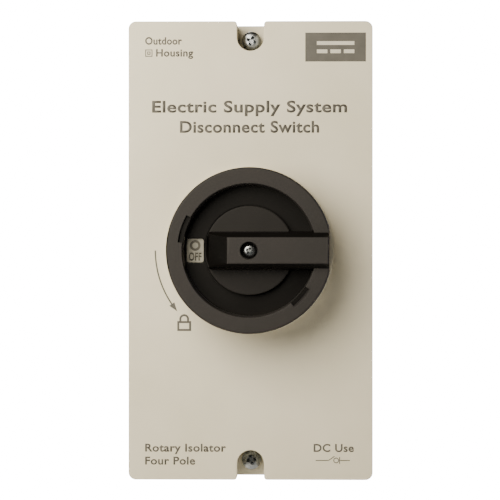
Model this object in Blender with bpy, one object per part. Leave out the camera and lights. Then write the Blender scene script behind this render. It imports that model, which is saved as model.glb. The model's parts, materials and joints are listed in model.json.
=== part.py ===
"""Lockable rotary isolator switch in a moulded wall box.

The box's back lies on the plane Y = 0 and its front faces -Y, with +Z up and +X to the right as seen
from the front. The handle turns about the Y axis. "Out" below is a distance from the wall, so a point at
"out" has Y = -out.
"""
import math

import bmesh
import bpy
from mathutils import Matrix, Vector

MM = 0.001
GAP = 0.3 * MM                    # running gap between touching pieces
OVERRUN = 1.0 * MM                # how far a cutter passes the surface that it opens
SHARP_ANGLE = 35                  # degrees between faces that stay visibly sharp
EMPTY_SIZE = 10 * MM
MERGE_DISTANCE = 0.001 * MM

# Faces round each kind of round form
PILOT_STEPS = 12
POST_STEPS = 14
HOLE_STEPS = 16
HEAD_STEPS = 20
HUB_STEPS = 24
CHAMBER_STEPS = 28
LEGEND_STEPS = 40
KNOB_STEPS = 64

# Enclosure
BODY_WIDTH = 98.0 * MM
BODY_HEIGHT = 184.0 * MM
BODY_CORNER = 3.0 * MM
BACK_WALL = 3.0 * MM
BASE_WALL = 3.6 * MM
BASE_RIM = 50.0 * MM
LID_RIM = BASE_RIM + GAP
LID_FACE = 80.0 * MM
LID_WALL = 2.6 * MM
LID_EDGE = 1.5 * MM
LID_EDGE_STEPS = 3
CORNER_STEPS = 4

# Rim groove and gasket
GROOVE_INSET = 0.8 * MM
GROOVE_WIDTH = 2.0 * MM
GROOVE_DEPTH = 2.5 * MM

# Lid screws, which stand in notches at the top and bottom of the lid
SCREW_Z = 85.5 * MM
NOTCH_RADIUS = 5.4 * MM
NOTCH_WALL = 2.2 * MM
NOTCH_FLOOR = 60.0 * MM
BOSS_RADIUS = 4.9 * MM
SCREW_SHANK = 1.9 * MM
SCREW_HOLE = 2.2 * MM
SCREW_HEAD = 3.9 * MM
SCREW_HEAD_HEIGHT = 2.4 * MM
SCREW_TIP = 35.0 * MM
SCREW_TURN = 20                   # degrees that each cross recess stands off upright
SEAL_THICK = 1.0 * MM

# Pan heads and their driver recesses, as shares of the head's radius or height
CROWN_SHARE = 0.55
CROWN_WIDTH = 0.75
RECESS_LENGTH = 0.62
RECESS_WIDTH = 0.14
RECESS_FLOOR = 0.35

# Cable knock-outs and wall fixing holes
KNOCKOUT_X = 24.0 * MM
KNOCKOUT_OUT = 25.0 * MM
KNOCKOUT_RADIUS = 12.5 * MM
KNOCKOUT_GROOVE = 0.8 * MM
FIXING_X = 34.0 * MM
FIXING_Z = 62.0 * MM
FIXING_HOLE = 2.6 * MM
FIXING_PAD = 6.0 * MM
FIXING_PAD_TOP = 6.0 * MM
BLIND_FLOOR = 1.2 * MM            # bottom of the blind holes in the back wall
BLIND_TIP = 1.6 * MM              # tip of the screws that stand in them

# Raised collar and hub on the lid
COLLAR_RADIUS = 33.3 * MM
COLLAR_INNER = 24.0 * MM
COLLAR_TOP = 83.0 * MM
HUB_RADIUS = 9.5 * MM
HUB_TOP = 84.5 * MM
BORE_RADIUS = 6.5 * MM

# Handle
KNOB_RADIUS = 32.55 * MM
KNOB_BACK = 83.5 * MM
RING_FACE = 105.0 * MM
RING_INNER = 26.1 * MM
RING_EDGE = 0.8 * MM
RING_DRAFT = 0.4 * MM
SKIRT_INNER = 29.3 * MM
FLOOR_TOP = 94.3 * MM
FLOOR_BACK = 93.0 * MM
DISC_RADIUS = 17.5 * MM
DISC_TOP = 97.5 * MM
DISC_EDGE = 0.4 * MM
DISC_GROOVE = 0.6 * MM
KNOB_HUB_RADIUS = 9.3 * MM
KNOB_HUB_BACK = 85.0 * MM
BAR_TOP = 108.5 * MM
BAR_END = 31.2 * MM
FLAT_HALF = 11.0 * MM
BAR_FOOT_HALF = 7.7 * MM
BAR_RING_HALF = 7.0 * MM
BAR_TOP_HALF = 4.9 * MM
RAMP_TOP_X = -7.9 * MM
RAMP_FOOT_X = -16.6 * MM
BAR_EDGE = 0.4 * MM
WINDOW_LOW_X = -25.1 * MM
WINDOW_HIGH_X = -18.2 * MM
WINDOW_HALF_HEIGHT = 4.95 * MM
NOTCH_OUTER = 27.6 * MM
NOTCH_DEPTH = 1.8 * MM
RING_NOTCHES = ((150.4, 173.5), (308.5, 327.5))

# Handle screw and its counterbore
KNOB_SOCKET = 9.2 * MM
KNOB_SOCKET_TOP = 99.0 * MM
COUNTERBORE_RADIUS = 3.35 * MM
COUNTERBORE_FLOOR = 103.0 * MM
KNOB_SCREW_SHANK = 1.5 * MM
KNOB_SCREW_HEAD = 2.7 * MM
KNOB_SCREW_HEIGHT = 2.0 * MM
KNOB_SCREW_TIP = 92.0 * MM
KNOB_SCREW_TURN = 25              # degrees

# Legend plate behind the handle's window
LEGEND_OUTER = 29.0 * MM
LEGEND_SKIRT_INNER = 26.5 * MM
LEGEND_INNER = 12.0 * MM
LEGEND_BACK = 90.2 * MM
LEGEND_TOP = 91.9 * MM
LABEL_WIDTH = 6.6 * MM
LABEL_HEIGHT = 9.4 * MM
LABEL_THICK = 0.4 * MM
LABEL_CORNER = 0.8 * MM
LABEL_CENTRE = 21.6 * MM

# Coupler that carries the handle's turn through the lid
COUPLER_SQUARE = 8.6 * MM
COUPLER_TOP = 98.5 * MM
COUPLER_SHOULDER = 84.7 * MM
COUPLER_JOURNAL = 6.2 * MM
COUPLER_BACK = 70.0 * MM
FLANGE_RADIUS = 11.0 * MM
FLANGE_BACK = 72.4 * MM
FLANGE_TOP = 75.2 * MM
COUPLER_SOCKET_TOP = 84.2 * MM
COUPLER_PILOT_BOTTOM = 91.5 * MM

# Square drive shaft
SHAFT_SQUARE = 6.0 * MM
SHAFT_SOCKET = 6.6 * MM
SHAFT_BACK = 18.2 * MM
SHAFT_TIP = 83.5 * MM
SHAFT_HOLE = 5.0 * MM
SHAFT_TAPER = 0.8 * MM

# Switch decks
DECK_WIDTH = 45.0 * MM
DECK_HEIGHT = 54.0 * MM
DECK_CORNER = 1.5 * MM
DECK_COUNT = 4
DECK_START = 17.4 * MM
DECK_THICK = 8.5 * MM
DECK_PITCH = DECK_THICK + GAP
DECK_FLOOR = 1.4 * MM
CHAMBER_RADIUS = 15.2 * MM
ROTOR_RADIUS = 7.8 * MM
ROTOR_HUB = 5.3 * MM
ROTOR_SHOULDER = 1.9 * MM
ROTOR_HUB_HEIGHT = 3.0 * MM
BRIDGE_RING = 7.6 * MM
BRIDGE_HOLE = 5.6 * MM
BRIDGE_REACH = 14.0 * MM
BRIDGE_HALF = 2.8 * MM
BRIDGE_THICK = 1.2 * MM
STRIP_LOW_X = -11.0 * MM
STRIP_HIGH_X = 1.5 * MM
STRIP_INNER_Z = 9.5 * MM
STRIP_LEVEL = 5.4 * MM            # above the deck's back face
STRIP_THICK = 1.2 * MM
TAB_HIGH_X = -2.0 * MM
TERMINAL_X = -6.5 * MM
TERMINAL_LEVEL = 3.0 * MM
TERMINAL_SHANK = 1.4 * MM
TERMINAL_HOLE = 1.7 * MM
TERMINAL_HEAD = 2.9 * MM
TERMINAL_HEIGHT = 2.0 * MM
TERMINAL_DEPTH = 5.0 * MM

# Detent mechanism in front of the decks
MECHANISM_BACK = DECK_START + DECK_COUNT * DECK_PITCH
MECHANISM_TOP = 66.0 * MM
MECHANISM_FLOOR = 2.0 * MM
CAM_CHAMBER = 11.4 * MM
CAM_RADIUS = 9.8 * MM
CAM_WAVE = 0.5 * MM
CAM_NOTCHES = 8
CAM_STEPS = 6                     # points along each notch
CAM_THICK = 6.0 * MM
PLUNGER_RADIUS = 2.2 * MM
PLUNGER_NOSE = 0.88 * MM
PLUNGER_NOSE_X = 10.7 * MM
PLUNGER_TAIL_X = 16.4 * MM
CHANNEL_END_X = 21.2 * MM
SPRING_WIRE = 0.3 * MM
SPRING_RADIUS = 1.6 * MM
SPRING_TURNS = 4.5
SPRING_STEPS = 8                  # points round each turn
COVER_THICK = 2.0 * MM

# Tie bolts through the stack
BOLT_X = 18.5 * MM
BOLT_Z = 23.0 * MM
BOLT_SHANK = 1.5 * MM
BOLT_HOLE = 1.8 * MM
BOLT_HEAD = 2.8 * MM
BOLT_HEIGHT = 1.9 * MM

# Mounting rail, the switch's foot and its latch
RAIL_LENGTH = 76.0 * MM
RAIL_HALF = 17.5 * MM
RAIL_WEB_HALF = 13.5 * MM
RAIL_BACK = 6.0 * MM
RAIL_DEPTH = 7.5 * MM
RAIL_SHEET = 1.0 * MM
RAIL_POST_X = 30.0 * MM
RAIL_POST_RADIUS = 4.5 * MM
RAIL_SCREW_HEAD = 3.2 * MM
RAIL_SCREW_HEIGHT = 2.0 * MM
FOOT_BACK = RAIL_BACK + RAIL_DEPTH + GAP
FOOT_TOP = DECK_START - GAP
HOOK_OUT = 10.8 * MM
HOOK_REACH = 15.5 * MM
HOOK_END = 21.0 * MM
LATCH_WIDTH = 14.0 * MM
LATCH_TAIL = 31.0 * MM
LATCH_TRAVEL = 3.0 * MM
LATCH_POCKET = 0.8 * MM

# Earth terminal bar
EARTH_Z = -42.0 * MM
EARTH_HALF = 16.0 * MM
EARTH_SIDE = 8.0 * MM
EARTH_BACK = 5.3 * MM
EARTH_WIRE_HOLE = 2.4 * MM
EARTH_WIRE_X = (-11.0 * MM, -5.6 * MM, 5.6 * MM, 11.0 * MM)
EARTH_SCREW_HEAD = 2.9 * MM
EARTH_SCREW_HEIGHT = 2.0 * MM

# Finishes: colour (linear), roughness, metallic
FINISHES = {
    "grey_moulding": ((0.60, 0.57, 0.48), 0.45, 0.0),
    "black_moulding": ((0.030, 0.026, 0.023), 0.40, 0.0),
    "dark_plate": ((0.018, 0.017, 0.015), 0.50, 0.0),
    "label_silver": ((0.30, 0.30, 0.27), 0.45, 0.3),
    "zinc_steel": ((0.62, 0.62, 0.60), 0.28, 1.0),
    "spring_steel": ((0.45, 0.45, 0.46), 0.30, 1.0),
    "rail_steel": ((0.66, 0.66, 0.63), 0.35, 1.0),
    "copper": ((0.72, 0.38, 0.22), 0.30, 1.0),
    "brass": ((0.68, 0.52, 0.24), 0.30, 1.0),
    "switch_moulding": ((0.10, 0.10, 0.11), 0.50, 0.0),
    "rotor_moulding": ((0.45, 0.10, 0.06), 0.50, 0.0),
    "foam_seal": ((0.03, 0.03, 0.03), 0.85, 0.0),
}


def material(finish):
    """Return the named finish as a Principled material, made once."""
    made = bpy.data.materials.get(finish)
    if made:
        return made
    colour, roughness, metallic = FINISHES[finish]
    made = bpy.data.materials.new(finish)
    made.use_nodes = True
    shader = made.node_tree.nodes["Principled BSDF"]
    shader.inputs["Base Color"].default_value = (*colour, 1.0)
    shader.inputs["Roughness"].default_value = roughness
    shader.inputs["Metallic"].default_value = metallic
    made.diffuse_color = (*colour, 1.0)
    return made


def rounded_rectangle(width, height, radius, steps=CORNER_STEPS):
    """Points (x, z) of a rectangle with round corners."""
    points = []
    for corner, (side_x, side_z) in enumerate(((1, 1), (-1, 1), (-1, -1), (1, -1))):
        for step in range(steps + 1):
            angle = (corner + step / steps) * math.pi / 2
            x = side_x * (width / 2 - radius) + radius * math.cos(angle)
            z = side_z * (height / 2 - radius) + radius * math.sin(angle)
            points.append((x, z))
    return points


def arc(radius, start, end, steps):
    """Points (x, z) along an arc about the origin, with its angles in degrees."""
    angles = [math.radians(start + (end - start) * step / steps) for step in range(steps + 1)]
    return [(radius * math.cos(angle), radius * math.sin(angle)) for angle in angles]


def add_extrusion(mesh, points, run):
    """Add a block from a flat outline of points (x, y, z) pushed along a run, and return its far points."""
    face = mesh.faces.new([mesh.verts.new(point) for point in points])
    grown = bmesh.ops.extrude_face_region(mesh, geom=[face])["geom"]
    moved = [item for item in grown if isinstance(item, bmesh.types.BMVert)]
    bmesh.ops.translate(mesh, verts=moved, vec=run)
    return moved


def add_prism(mesh, outline, near, far):
    """Add a block with an outline (x, z), from one distance out from the wall to another."""
    return add_extrusion(mesh, [(x, -near, z) for x, z in outline], (0, near - far, 0))


def add_box(mesh, x_range, out_range, z_range):
    """Add a block between two values on each axis."""
    size = [high - low for low, high in (x_range, out_range, z_range)]
    middle = (sum(x_range) / 2, -sum(out_range) / 2, sum(z_range) / 2)
    bmesh.ops.create_cube(mesh, size=1.0, matrix=Matrix.Translation(middle) @ Matrix.Diagonal((*size, 1.0)))


def add_rod(mesh, start, end, radius, steps, end_radius=None):
    """Add a round bar, or a cone, between two points (x, y, z)."""
    run = Vector(end) - Vector(start)
    turn = run.to_track_quat("Z", "Y").to_matrix().to_4x4()
    middle = Matrix.Translation((Vector(start) + Vector(end)) / 2)
    last = radius if end_radius is None else end_radius
    bmesh.ops.create_cone(mesh, cap_ends=True, segments=steps, radius1=radius, radius2=last,
                          depth=run.length, matrix=middle @ turn)


def add_turned(mesh, profile, steps):
    """Add a turned body from profile points (radius, out) about the Y axis.

    A profile that starts and ends on the axis is open, and any other one is a closed loop.
    """
    points = [mesh.verts.new((radius, -out, 0)) for radius, out in profile]
    edges = [mesh.edges.new(pair) for pair in zip(points, points[1:])]
    if profile[0][0] > 0 or profile[-1][0] > 0:
        edges.append(mesh.edges.new((points[-1], points[0])))
    bmesh.ops.spin(mesh, geom=points + edges, cent=(0, 0, 0), axis=(0, 1, 0), dvec=(0, 0, 0),
                   angle=2 * math.pi, steps=steps, use_merge=True)
    bmesh.ops.remove_doubles(mesh, verts=mesh.verts, dist=MERGE_DISTANCE)


def finish_mesh(mesh, name):
    """Turn a bmesh into a mesh whose faces point out and whose round faces are smooth."""
    bmesh.ops.recalc_face_normals(mesh, faces=mesh.faces)
    data = bpy.data.meshes.new(name)
    mesh.to_mesh(data)
    mesh.free()
    return data


def smooth(data):
    """Shade a mesh smooth with its real edges kept sharp."""
    data.shade_smooth()
    data.set_sharp_from_angle(angle=math.radians(SHARP_ANGLE))


def piece(name, data, finish, parent=None, location=(0, 0, 0), rotation=(0, 0, 0)):
    """Put a mesh in the scene as one named sub-part."""
    made = bpy.data.objects.new(name, data)
    bpy.context.collection.objects.link(made)
    if not data.materials:
        data.materials.append(material(finish))
    smooth(data)
    made.parent = parent
    made.location = location
    made.rotation_euler = rotation
    return made


def solid(build, *sizes):
    """Return the mesh of one body that a function adds to an empty bmesh."""
    mesh = bmesh.new()
    build(mesh, *sizes)
    return finish_mesh(mesh, "body")


def combined(base, steps):
    """Return a mesh after Boolean steps, each an operation and the mesh of its tool."""
    target = bpy.data.objects.new("target", base)
    bpy.context.collection.objects.link(target)
    tools = []
    for operation, data in steps:
        tool = bpy.data.objects.new("tool", data)
        bpy.context.collection.objects.link(tool)
        tools.append(tool)
        modifier = target.modifiers.new(operation, "BOOLEAN")
        modifier.operation = operation
        modifier.object = tool
    graph = bpy.context.evaluated_depsgraph_get()
    result = bpy.data.meshes.new_from_object(target.evaluated_get(graph))
    for used in tools + [target]:
        bpy.data.objects.remove(used)
    return result


def joint_empty(name, out, parent=None):
    """Add an empty on the Y axis for the pieces of one moving body."""
    made = bpy.data.objects.new(name, None)
    bpy.context.collection.objects.link(made)
    made.empty_display_size = EMPTY_SIZE
    made.location = (0, -out, 0)
    made.parent = parent
    return made


def cross_recess(half_length, half_width, floor, top):
    """Return the steps that cut a cross-shaped driver recess."""
    along = solid(add_box, (-half_length, half_length), (floor, top), (-half_width, half_width))
    across = solid(add_box, (-half_width, half_width), (floor, top), (-half_length, half_length))
    return [("DIFFERENCE", along), ("DIFFERENCE", across)]


def slot_recess(half_length, half_width, floor, top):
    """Return the step that cuts a plain driver slot."""
    return [("DIFFERENCE", solid(add_box, (-half_length, half_length), (floor, top),
                                 (-half_width, half_width)))]


def screw_mesh(shank, length, head, head_height, sides, recess=slot_recess):
    """Return a pan-head screw on the Y axis, with its head's seat at out = 0."""
    crown = head_height * CROWN_SHARE
    profile = [(0, -length), (shank, -length), (shank, 0), (head, 0), (head, crown),
               (head * CROWN_WIDTH, head_height), (0, head_height)]
    steps = recess(head * RECESS_LENGTH, head * RECESS_WIDTH, head_height * RECESS_FLOOR,
                   head_height + OVERRUN)
    return combined(solid(add_turned, profile, sides), steps)


def rim_loop(mesh, outer_inset, inner_inset, near, far):
    """Add a closed frame that follows the body's outline between two insets."""
    frames = []
    for inset in (outer_inset, inner_inset):
        outline = rounded_rectangle(BODY_WIDTH - 2 * inset, BODY_HEIGHT - 2 * inset, BODY_CORNER - inset / 2)
        frames.append([[mesh.verts.new((x, -out, z)) for x, z in outline] for out in (near, far)])
    (outer_near, outer_far), (inner_near, inner_far) = frames
    for first, second in ((outer_near, outer_far), (outer_far, inner_far), (inner_far, inner_near),
                          (inner_near, outer_near)):
        for index in range(len(first)):
            after = (index + 1) % len(first)
            mesh.faces.new((first[index], first[after], second[after], second[index]))


def add_notch(mesh, side, radius, near, far, end):
    """Add a block with one round end about a lid screw, open towards the body's end wall."""
    turned = 180 if side > 0 else 0
    bend = arc(radius, turned, turned + 180, HOLE_STEPS)
    outline = [(x, z + side * SCREW_Z) for x, z in bend]
    outline += [(-x, side * end) for x, _ in (bend[0], bend[-1])]
    add_prism(mesh, outline, near, far)


def make_base():
    """Base of the box: wall, screw bosses, rail posts, knock-outs and fixing holes."""
    body = solid(add_prism, rounded_rectangle(BODY_WIDTH, BODY_HEIGHT, BODY_CORNER), 0, BASE_RIM)
    inside = rounded_rectangle(BODY_WIDTH - 2 * BASE_WALL, BODY_HEIGHT - 2 * BASE_WALL, BODY_CORNER / 2)
    steps = [("DIFFERENCE", solid(add_prism, inside, BACK_WALL, BASE_RIM + OVERRUN))]
    root = BACK_WALL / 2
    for side in (-1, 1):
        boss_end = BODY_HEIGHT / 2 - BASE_WALL / 2
        steps.append(("UNION", solid(add_notch, side, BOSS_RADIUS, root, BASE_RIM, boss_end)))
        post = (side * RAIL_POST_X, -root, 0), (side * RAIL_POST_X, -(RAIL_BACK - GAP), 0)
        steps.append(("UNION", solid(add_rod, *post, RAIL_POST_RADIUS, POST_STEPS)))
        for end in (-1, 1):
            pad = (side * FIXING_X, -root, end * FIXING_Z), (side * FIXING_X, -FIXING_PAD_TOP, end * FIXING_Z)
            steps.append(("UNION", solid(add_rod, *pad, FIXING_PAD, HOLE_STEPS)))
    pad = (0, -root, EARTH_Z), (0, -(EARTH_BACK - GAP), EARTH_Z)
    steps.append(("UNION", solid(add_rod, *pad, RAIL_POST_RADIUS, POST_STEPS)))
    steps.append(("DIFFERENCE", solid(rim_loop, GROOVE_INSET, GROOVE_INSET + GROOVE_WIDTH,
                                      BASE_RIM - GROOVE_DEPTH, BASE_RIM + OVERRUN)))
    for side in (-1, 1):
        hole = (0, -(SCREW_TIP - OVERRUN), side * SCREW_Z), (0, -(BASE_RIM + OVERRUN), side * SCREW_Z)
        steps.append(("DIFFERENCE", solid(add_rod, *hole, SCREW_HOLE, HOLE_STEPS)))
        hole = (side * RAIL_POST_X, -BLIND_FLOOR, 0), (side * RAIL_POST_X, -(RAIL_BACK + OVERRUN), 0)
        steps.append(("DIFFERENCE", solid(add_rod, *hole, BOLT_HOLE, PILOT_STEPS)))
        for end in (-1, 1):
            x, z = side * FIXING_X, end * FIXING_Z
            hole = (x, OVERRUN, z), (x, -(FIXING_PAD_TOP + OVERRUN), z)
            steps.append(("DIFFERENCE", solid(add_rod, *hole, FIXING_HOLE, PILOT_STEPS)))
            ring = solid(add_turned, [(KNOCKOUT_RADIUS, 0), (KNOCKOUT_RADIUS + KNOCKOUT_GROOVE, 0),
                                      (KNOCKOUT_RADIUS + KNOCKOUT_GROOVE, 2 * KNOCKOUT_GROOVE),
                                      (KNOCKOUT_RADIUS, 2 * KNOCKOUT_GROOVE)], HEAD_STEPS)
            ring.transform(Matrix.Rotation(math.radians(-90), 4, "X"))
            place = (side * KNOCKOUT_X, -KNOCKOUT_OUT, end * BODY_HEIGHT / 2 - KNOCKOUT_GROOVE)
            ring.transform(Matrix.Translation(place))
            steps.append(("DIFFERENCE", ring))
    hole = (0, -BLIND_FLOOR, EARTH_Z), (0, -(EARTH_BACK + OVERRUN), EARTH_Z)
    steps.append(("DIFFERENCE", solid(add_rod, *hole, BOLT_HOLE, PILOT_STEPS)))
    piece("enclosure_base", combined(body, steps), "grey_moulding")


def make_gasket():
    """Foam seal that lies in the base's rim groove."""
    near = BASE_RIM - GROOVE_DEPTH + GAP
    data = solid(rim_loop, GROOVE_INSET + GAP, GROOVE_INSET + GROOVE_WIDTH - GAP, near, BASE_RIM)
    piece("lid_gasket", data, "foam_seal")


def add_lid_block(mesh):
    """Add the lid's outer block with its front edge rounded."""
    front = add_prism(mesh, rounded_rectangle(BODY_WIDTH, BODY_HEIGHT, BODY_CORNER), LID_RIM, LID_FACE)
    edges = [edge for edge in mesh.edges if all(vert in front for vert in edge.verts)]
    bmesh.ops.bevel(mesh, geom=edges, offset=LID_EDGE, offset_type="OFFSET", segments=LID_EDGE_STEPS,
                    profile=0.5, affect="EDGES")


def make_lid(parent):
    """Lid of the box: shell, screw notches, raised collar and bored hub."""
    inner = rounded_rectangle(BODY_WIDTH - 2 * LID_WALL, BODY_HEIGHT - 2 * LID_WALL, BODY_CORNER / 2)
    hollow = solid(add_prism, inner, LID_RIM - OVERRUN, LID_FACE - LID_WALL)
    keep = []
    for side in (-1, 1):
        keep.append(("DIFFERENCE", solid(add_notch, side, NOTCH_RADIUS + NOTCH_WALL, LID_RIM - 2 * OVERRUN,
                                         LID_FACE, BODY_HEIGHT / 2)))
    steps = [("DIFFERENCE", combined(hollow, keep))]
    collar = [(COLLAR_INNER, LID_FACE - OVERRUN), (COLLAR_RADIUS, LID_FACE - OVERRUN),
              (COLLAR_RADIUS, COLLAR_TOP - GAP), (COLLAR_RADIUS - GAP, COLLAR_TOP),
              (COLLAR_INNER, COLLAR_TOP)]
    steps.append(("UNION", solid(add_turned, collar, KNOB_STEPS)))
    hub = (0, -(LID_FACE - OVERRUN), 0), (0, -HUB_TOP, 0)
    steps.append(("UNION", solid(add_rod, *hub, HUB_RADIUS, HUB_STEPS)))
    bore = (0, -(LID_RIM + OVERRUN), 0), (0, -(HUB_TOP + OVERRUN), 0)
    steps.append(("DIFFERENCE", solid(add_rod, *bore, BORE_RADIUS, HUB_STEPS)))
    for side in (-1, 1):
        steps.append(("DIFFERENCE", solid(add_notch, side, NOTCH_RADIUS, NOTCH_FLOOR, LID_FACE + OVERRUN,
                                          BODY_HEIGHT / 2 + OVERRUN)))
        hole = (0, -(LID_RIM - OVERRUN), side * SCREW_Z), (0, -(NOTCH_FLOOR + OVERRUN), side * SCREW_Z)
        steps.append(("DIFFERENCE", solid(add_rod, *hole, SCREW_HOLE, HOLE_STEPS)))
    piece("lid", combined(solid(add_lid_block), steps), "grey_moulding", parent)


def make_lid_screws(parent):
    """Two captive lid screws, each on a rubber seal ring."""
    seat = NOTCH_FLOOR + 2 * GAP + SEAL_THICK
    screw = screw_mesh(SCREW_SHANK, seat - SCREW_TIP, SCREW_HEAD, SCREW_HEAD_HEIGHT, HEAD_STEPS, cross_recess)
    ring = [(SCREW_HOLE, 0), (SCREW_HEAD - GAP, 0), (SCREW_HEAD - GAP, SEAL_THICK), (SCREW_HOLE, SEAL_THICK)]
    seal = solid(add_turned, ring, HEAD_STEPS)
    for name, side in (("top", 1), ("bottom", -1)):
        turn = (0, math.radians(SCREW_TURN * side), 0)
        piece(f"lid_screw_{name}", screw, "zinc_steel", parent, (0, -seat, side * SCREW_Z), turn)
        piece(f"lid_screw_seal_{name}", seal, "foam_seal", parent, (0, -(NOTCH_FLOOR + GAP), side * SCREW_Z))


def make_legend(parent):
    """Fixed plate behind the handle's window, with the OFF and ON labels."""
    foot = COLLAR_TOP + GAP
    profile = [(LEGEND_SKIRT_INNER, foot), (LEGEND_OUTER, foot), (LEGEND_OUTER, LEGEND_TOP),
               (LEGEND_INNER, LEGEND_TOP), (LEGEND_INNER, LEGEND_BACK), (LEGEND_SKIRT_INNER, LEGEND_BACK)]
    piece("legend_plate", solid(add_turned, profile, LEGEND_STEPS), "dark_plate", parent)
    near = LEGEND_TOP + GAP
    off = rounded_rectangle(LABEL_WIDTH, LABEL_HEIGHT, LABEL_CORNER)
    off = [(x - LABEL_CENTRE, z) for x, z in off]
    on = rounded_rectangle(LABEL_HEIGHT, LABEL_WIDTH, LABEL_CORNER)
    on = [(x, z + LABEL_CENTRE) for x, z in on]
    for name, outline in (("off", off), ("on", on)):
        piece(f"legend_{name}_label", solid(add_prism, outline, near, near + LABEL_THICK), "label_silver",
              parent)


def add_bar_section(mesh):
    """Add the handle bar's cross-section, run from end to end along X."""
    start = -DISC_RADIUS
    outline = [(-BAR_FOOT_HALF, FLOOR_TOP - GAP), (BAR_FOOT_HALF, FLOOR_TOP - GAP),
               (BAR_RING_HALF, RING_FACE), (BAR_TOP_HALF + BAR_EDGE, BAR_TOP - BAR_EDGE),
               (BAR_TOP_HALF, BAR_TOP), (-BAR_TOP_HALF, BAR_TOP),
               (-BAR_TOP_HALF - BAR_EDGE, BAR_TOP - BAR_EDGE), (-BAR_RING_HALF, RING_FACE)]
    add_extrusion(mesh, [(start, -out, z) for z, out in outline], (BAR_END + OVERRUN - start, 0, 0))


def add_bar_profile(mesh):
    """Add the handle bar's side view, run right through it along Z."""
    half = BAR_FOOT_HALF + OVERRUN
    outline = [(-DISC_RADIUS - OVERRUN, FLOOR_TOP - OVERRUN), (BAR_END - GAP, FLOOR_TOP - OVERRUN),
               (BAR_END - GAP, BAR_TOP - BAR_EDGE), (BAR_END - GAP - BAR_EDGE, BAR_TOP + GAP / 10),
               (RAMP_TOP_X, BAR_TOP + GAP / 10), (RAMP_FOOT_X, DISC_TOP),
               (-DISC_RADIUS - OVERRUN, DISC_TOP)]
    add_extrusion(mesh, [(x, -out, -half) for x, out in outline], (0, 0, 2 * half))


def bar_mesh():
    """Return the handle's bar: tapered, with a ramp at its pointer end and a flat far end."""
    end = BAR_END + OVERRUN
    half = BAR_FOOT_HALF + OVERRUN
    plan = [(end, -half), (end, half)] + arc(DISC_RADIUS - GAP, 120, 240, HOLE_STEPS)
    plan_block = solid(add_prism, plan, FLOOR_TOP - 2 * OVERRUN, BAR_TOP + OVERRUN)
    return combined(solid(add_bar_section), [("INTERSECT", solid(add_bar_profile)),
                                             ("INTERSECT", plan_block)])


def add_ring_notch(mesh, start, end):
    """Add the cutter of a shallow notch in the handle ring's inner edge."""
    outer = arc(NOTCH_OUTER, start, end, PILOT_STEPS)
    inner = arc(RING_INNER - 2 * OVERRUN, end, start, PILOT_STEPS)
    add_prism(mesh, outer + inner, RING_FACE - NOTCH_DEPTH, RING_FACE + OVERRUN)


def make_knob(parent):
    """Round handle: ring, floor with its window, raised disc, bar and rear socket."""
    groove_floor = FLOOR_BACK + DISC_GROOVE
    profile = [(0, KNOB_HUB_BACK), (KNOB_HUB_RADIUS, KNOB_HUB_BACK), (KNOB_HUB_RADIUS, FLOOR_BACK),
               (SKIRT_INNER, FLOOR_BACK), (SKIRT_INNER, KNOB_BACK), (KNOB_RADIUS, KNOB_BACK)]
    for x, z in arc(RING_EDGE, 0, 90, CORNER_STEPS):
        profile.append((KNOB_RADIUS - RING_EDGE + x, RING_FACE - RING_EDGE + z))
    profile += [(RING_INNER + GAP, RING_FACE), (RING_INNER, RING_FACE - GAP),
                (RING_INNER - RING_DRAFT, FLOOR_TOP), (DISC_RADIUS + DISC_GROOVE, FLOOR_TOP),
                (DISC_RADIUS + DISC_GROOVE, groove_floor), (DISC_RADIUS, groove_floor),
                (DISC_RADIUS, DISC_TOP - DISC_EDGE), (DISC_RADIUS - DISC_EDGE, DISC_TOP), (0, DISC_TOP)]
    half = KNOB_SOCKET / 2
    steps = [
        ("UNION", bar_mesh()),
        ("DIFFERENCE", solid(add_box, (BAR_END, KNOB_RADIUS + OVERRUN), (KNOB_BACK - OVERRUN,
                             BAR_TOP + OVERRUN), (-FLAT_HALF, FLAT_HALF))),
        ("DIFFERENCE", solid(add_box, (WINDOW_LOW_X, WINDOW_HIGH_X), (FLOOR_BACK - OVERRUN,
                             FLOOR_TOP + OVERRUN), (-WINDOW_HALF_HEIGHT, WINDOW_HALF_HEIGHT))),
        ("DIFFERENCE", solid(add_box, (-half, half), (KNOB_HUB_BACK - OVERRUN, KNOB_SOCKET_TOP),
                             (-half, half))),
        ("DIFFERENCE", solid(add_rod, (0, -COUNTERBORE_FLOOR, 0), (0, -(BAR_TOP + OVERRUN), 0),
                             COUNTERBORE_RADIUS, HUB_STEPS)),
        ("DIFFERENCE", solid(add_rod, (0, -(KNOB_SOCKET_TOP - OVERRUN), 0),
                             (0, -(COUNTERBORE_FLOOR + OVERRUN), 0), KNOB_SCREW_SHANK + GAP, PILOT_STEPS)),
    ]
    steps += [("DIFFERENCE", solid(add_ring_notch, start, end)) for start, end in RING_NOTCHES]
    data = combined(solid(add_turned, profile, KNOB_STEPS), steps)
    data.transform(Matrix.Translation((0, KNOB_BACK, 0)))
    piece("knob", data, "black_moulding", parent)
    seat = COUNTERBORE_FLOOR + GAP
    screw = screw_mesh(KNOB_SCREW_SHANK, seat - KNOB_SCREW_TIP, KNOB_SCREW_HEAD, KNOB_SCREW_HEIGHT,
                       HOLE_STEPS, cross_recess)
    turn = (0, math.radians(KNOB_SCREW_TURN), 0)
    piece("knob_screw", screw, "zinc_steel", parent, (0, KNOB_BACK - seat, 0), turn)


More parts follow.
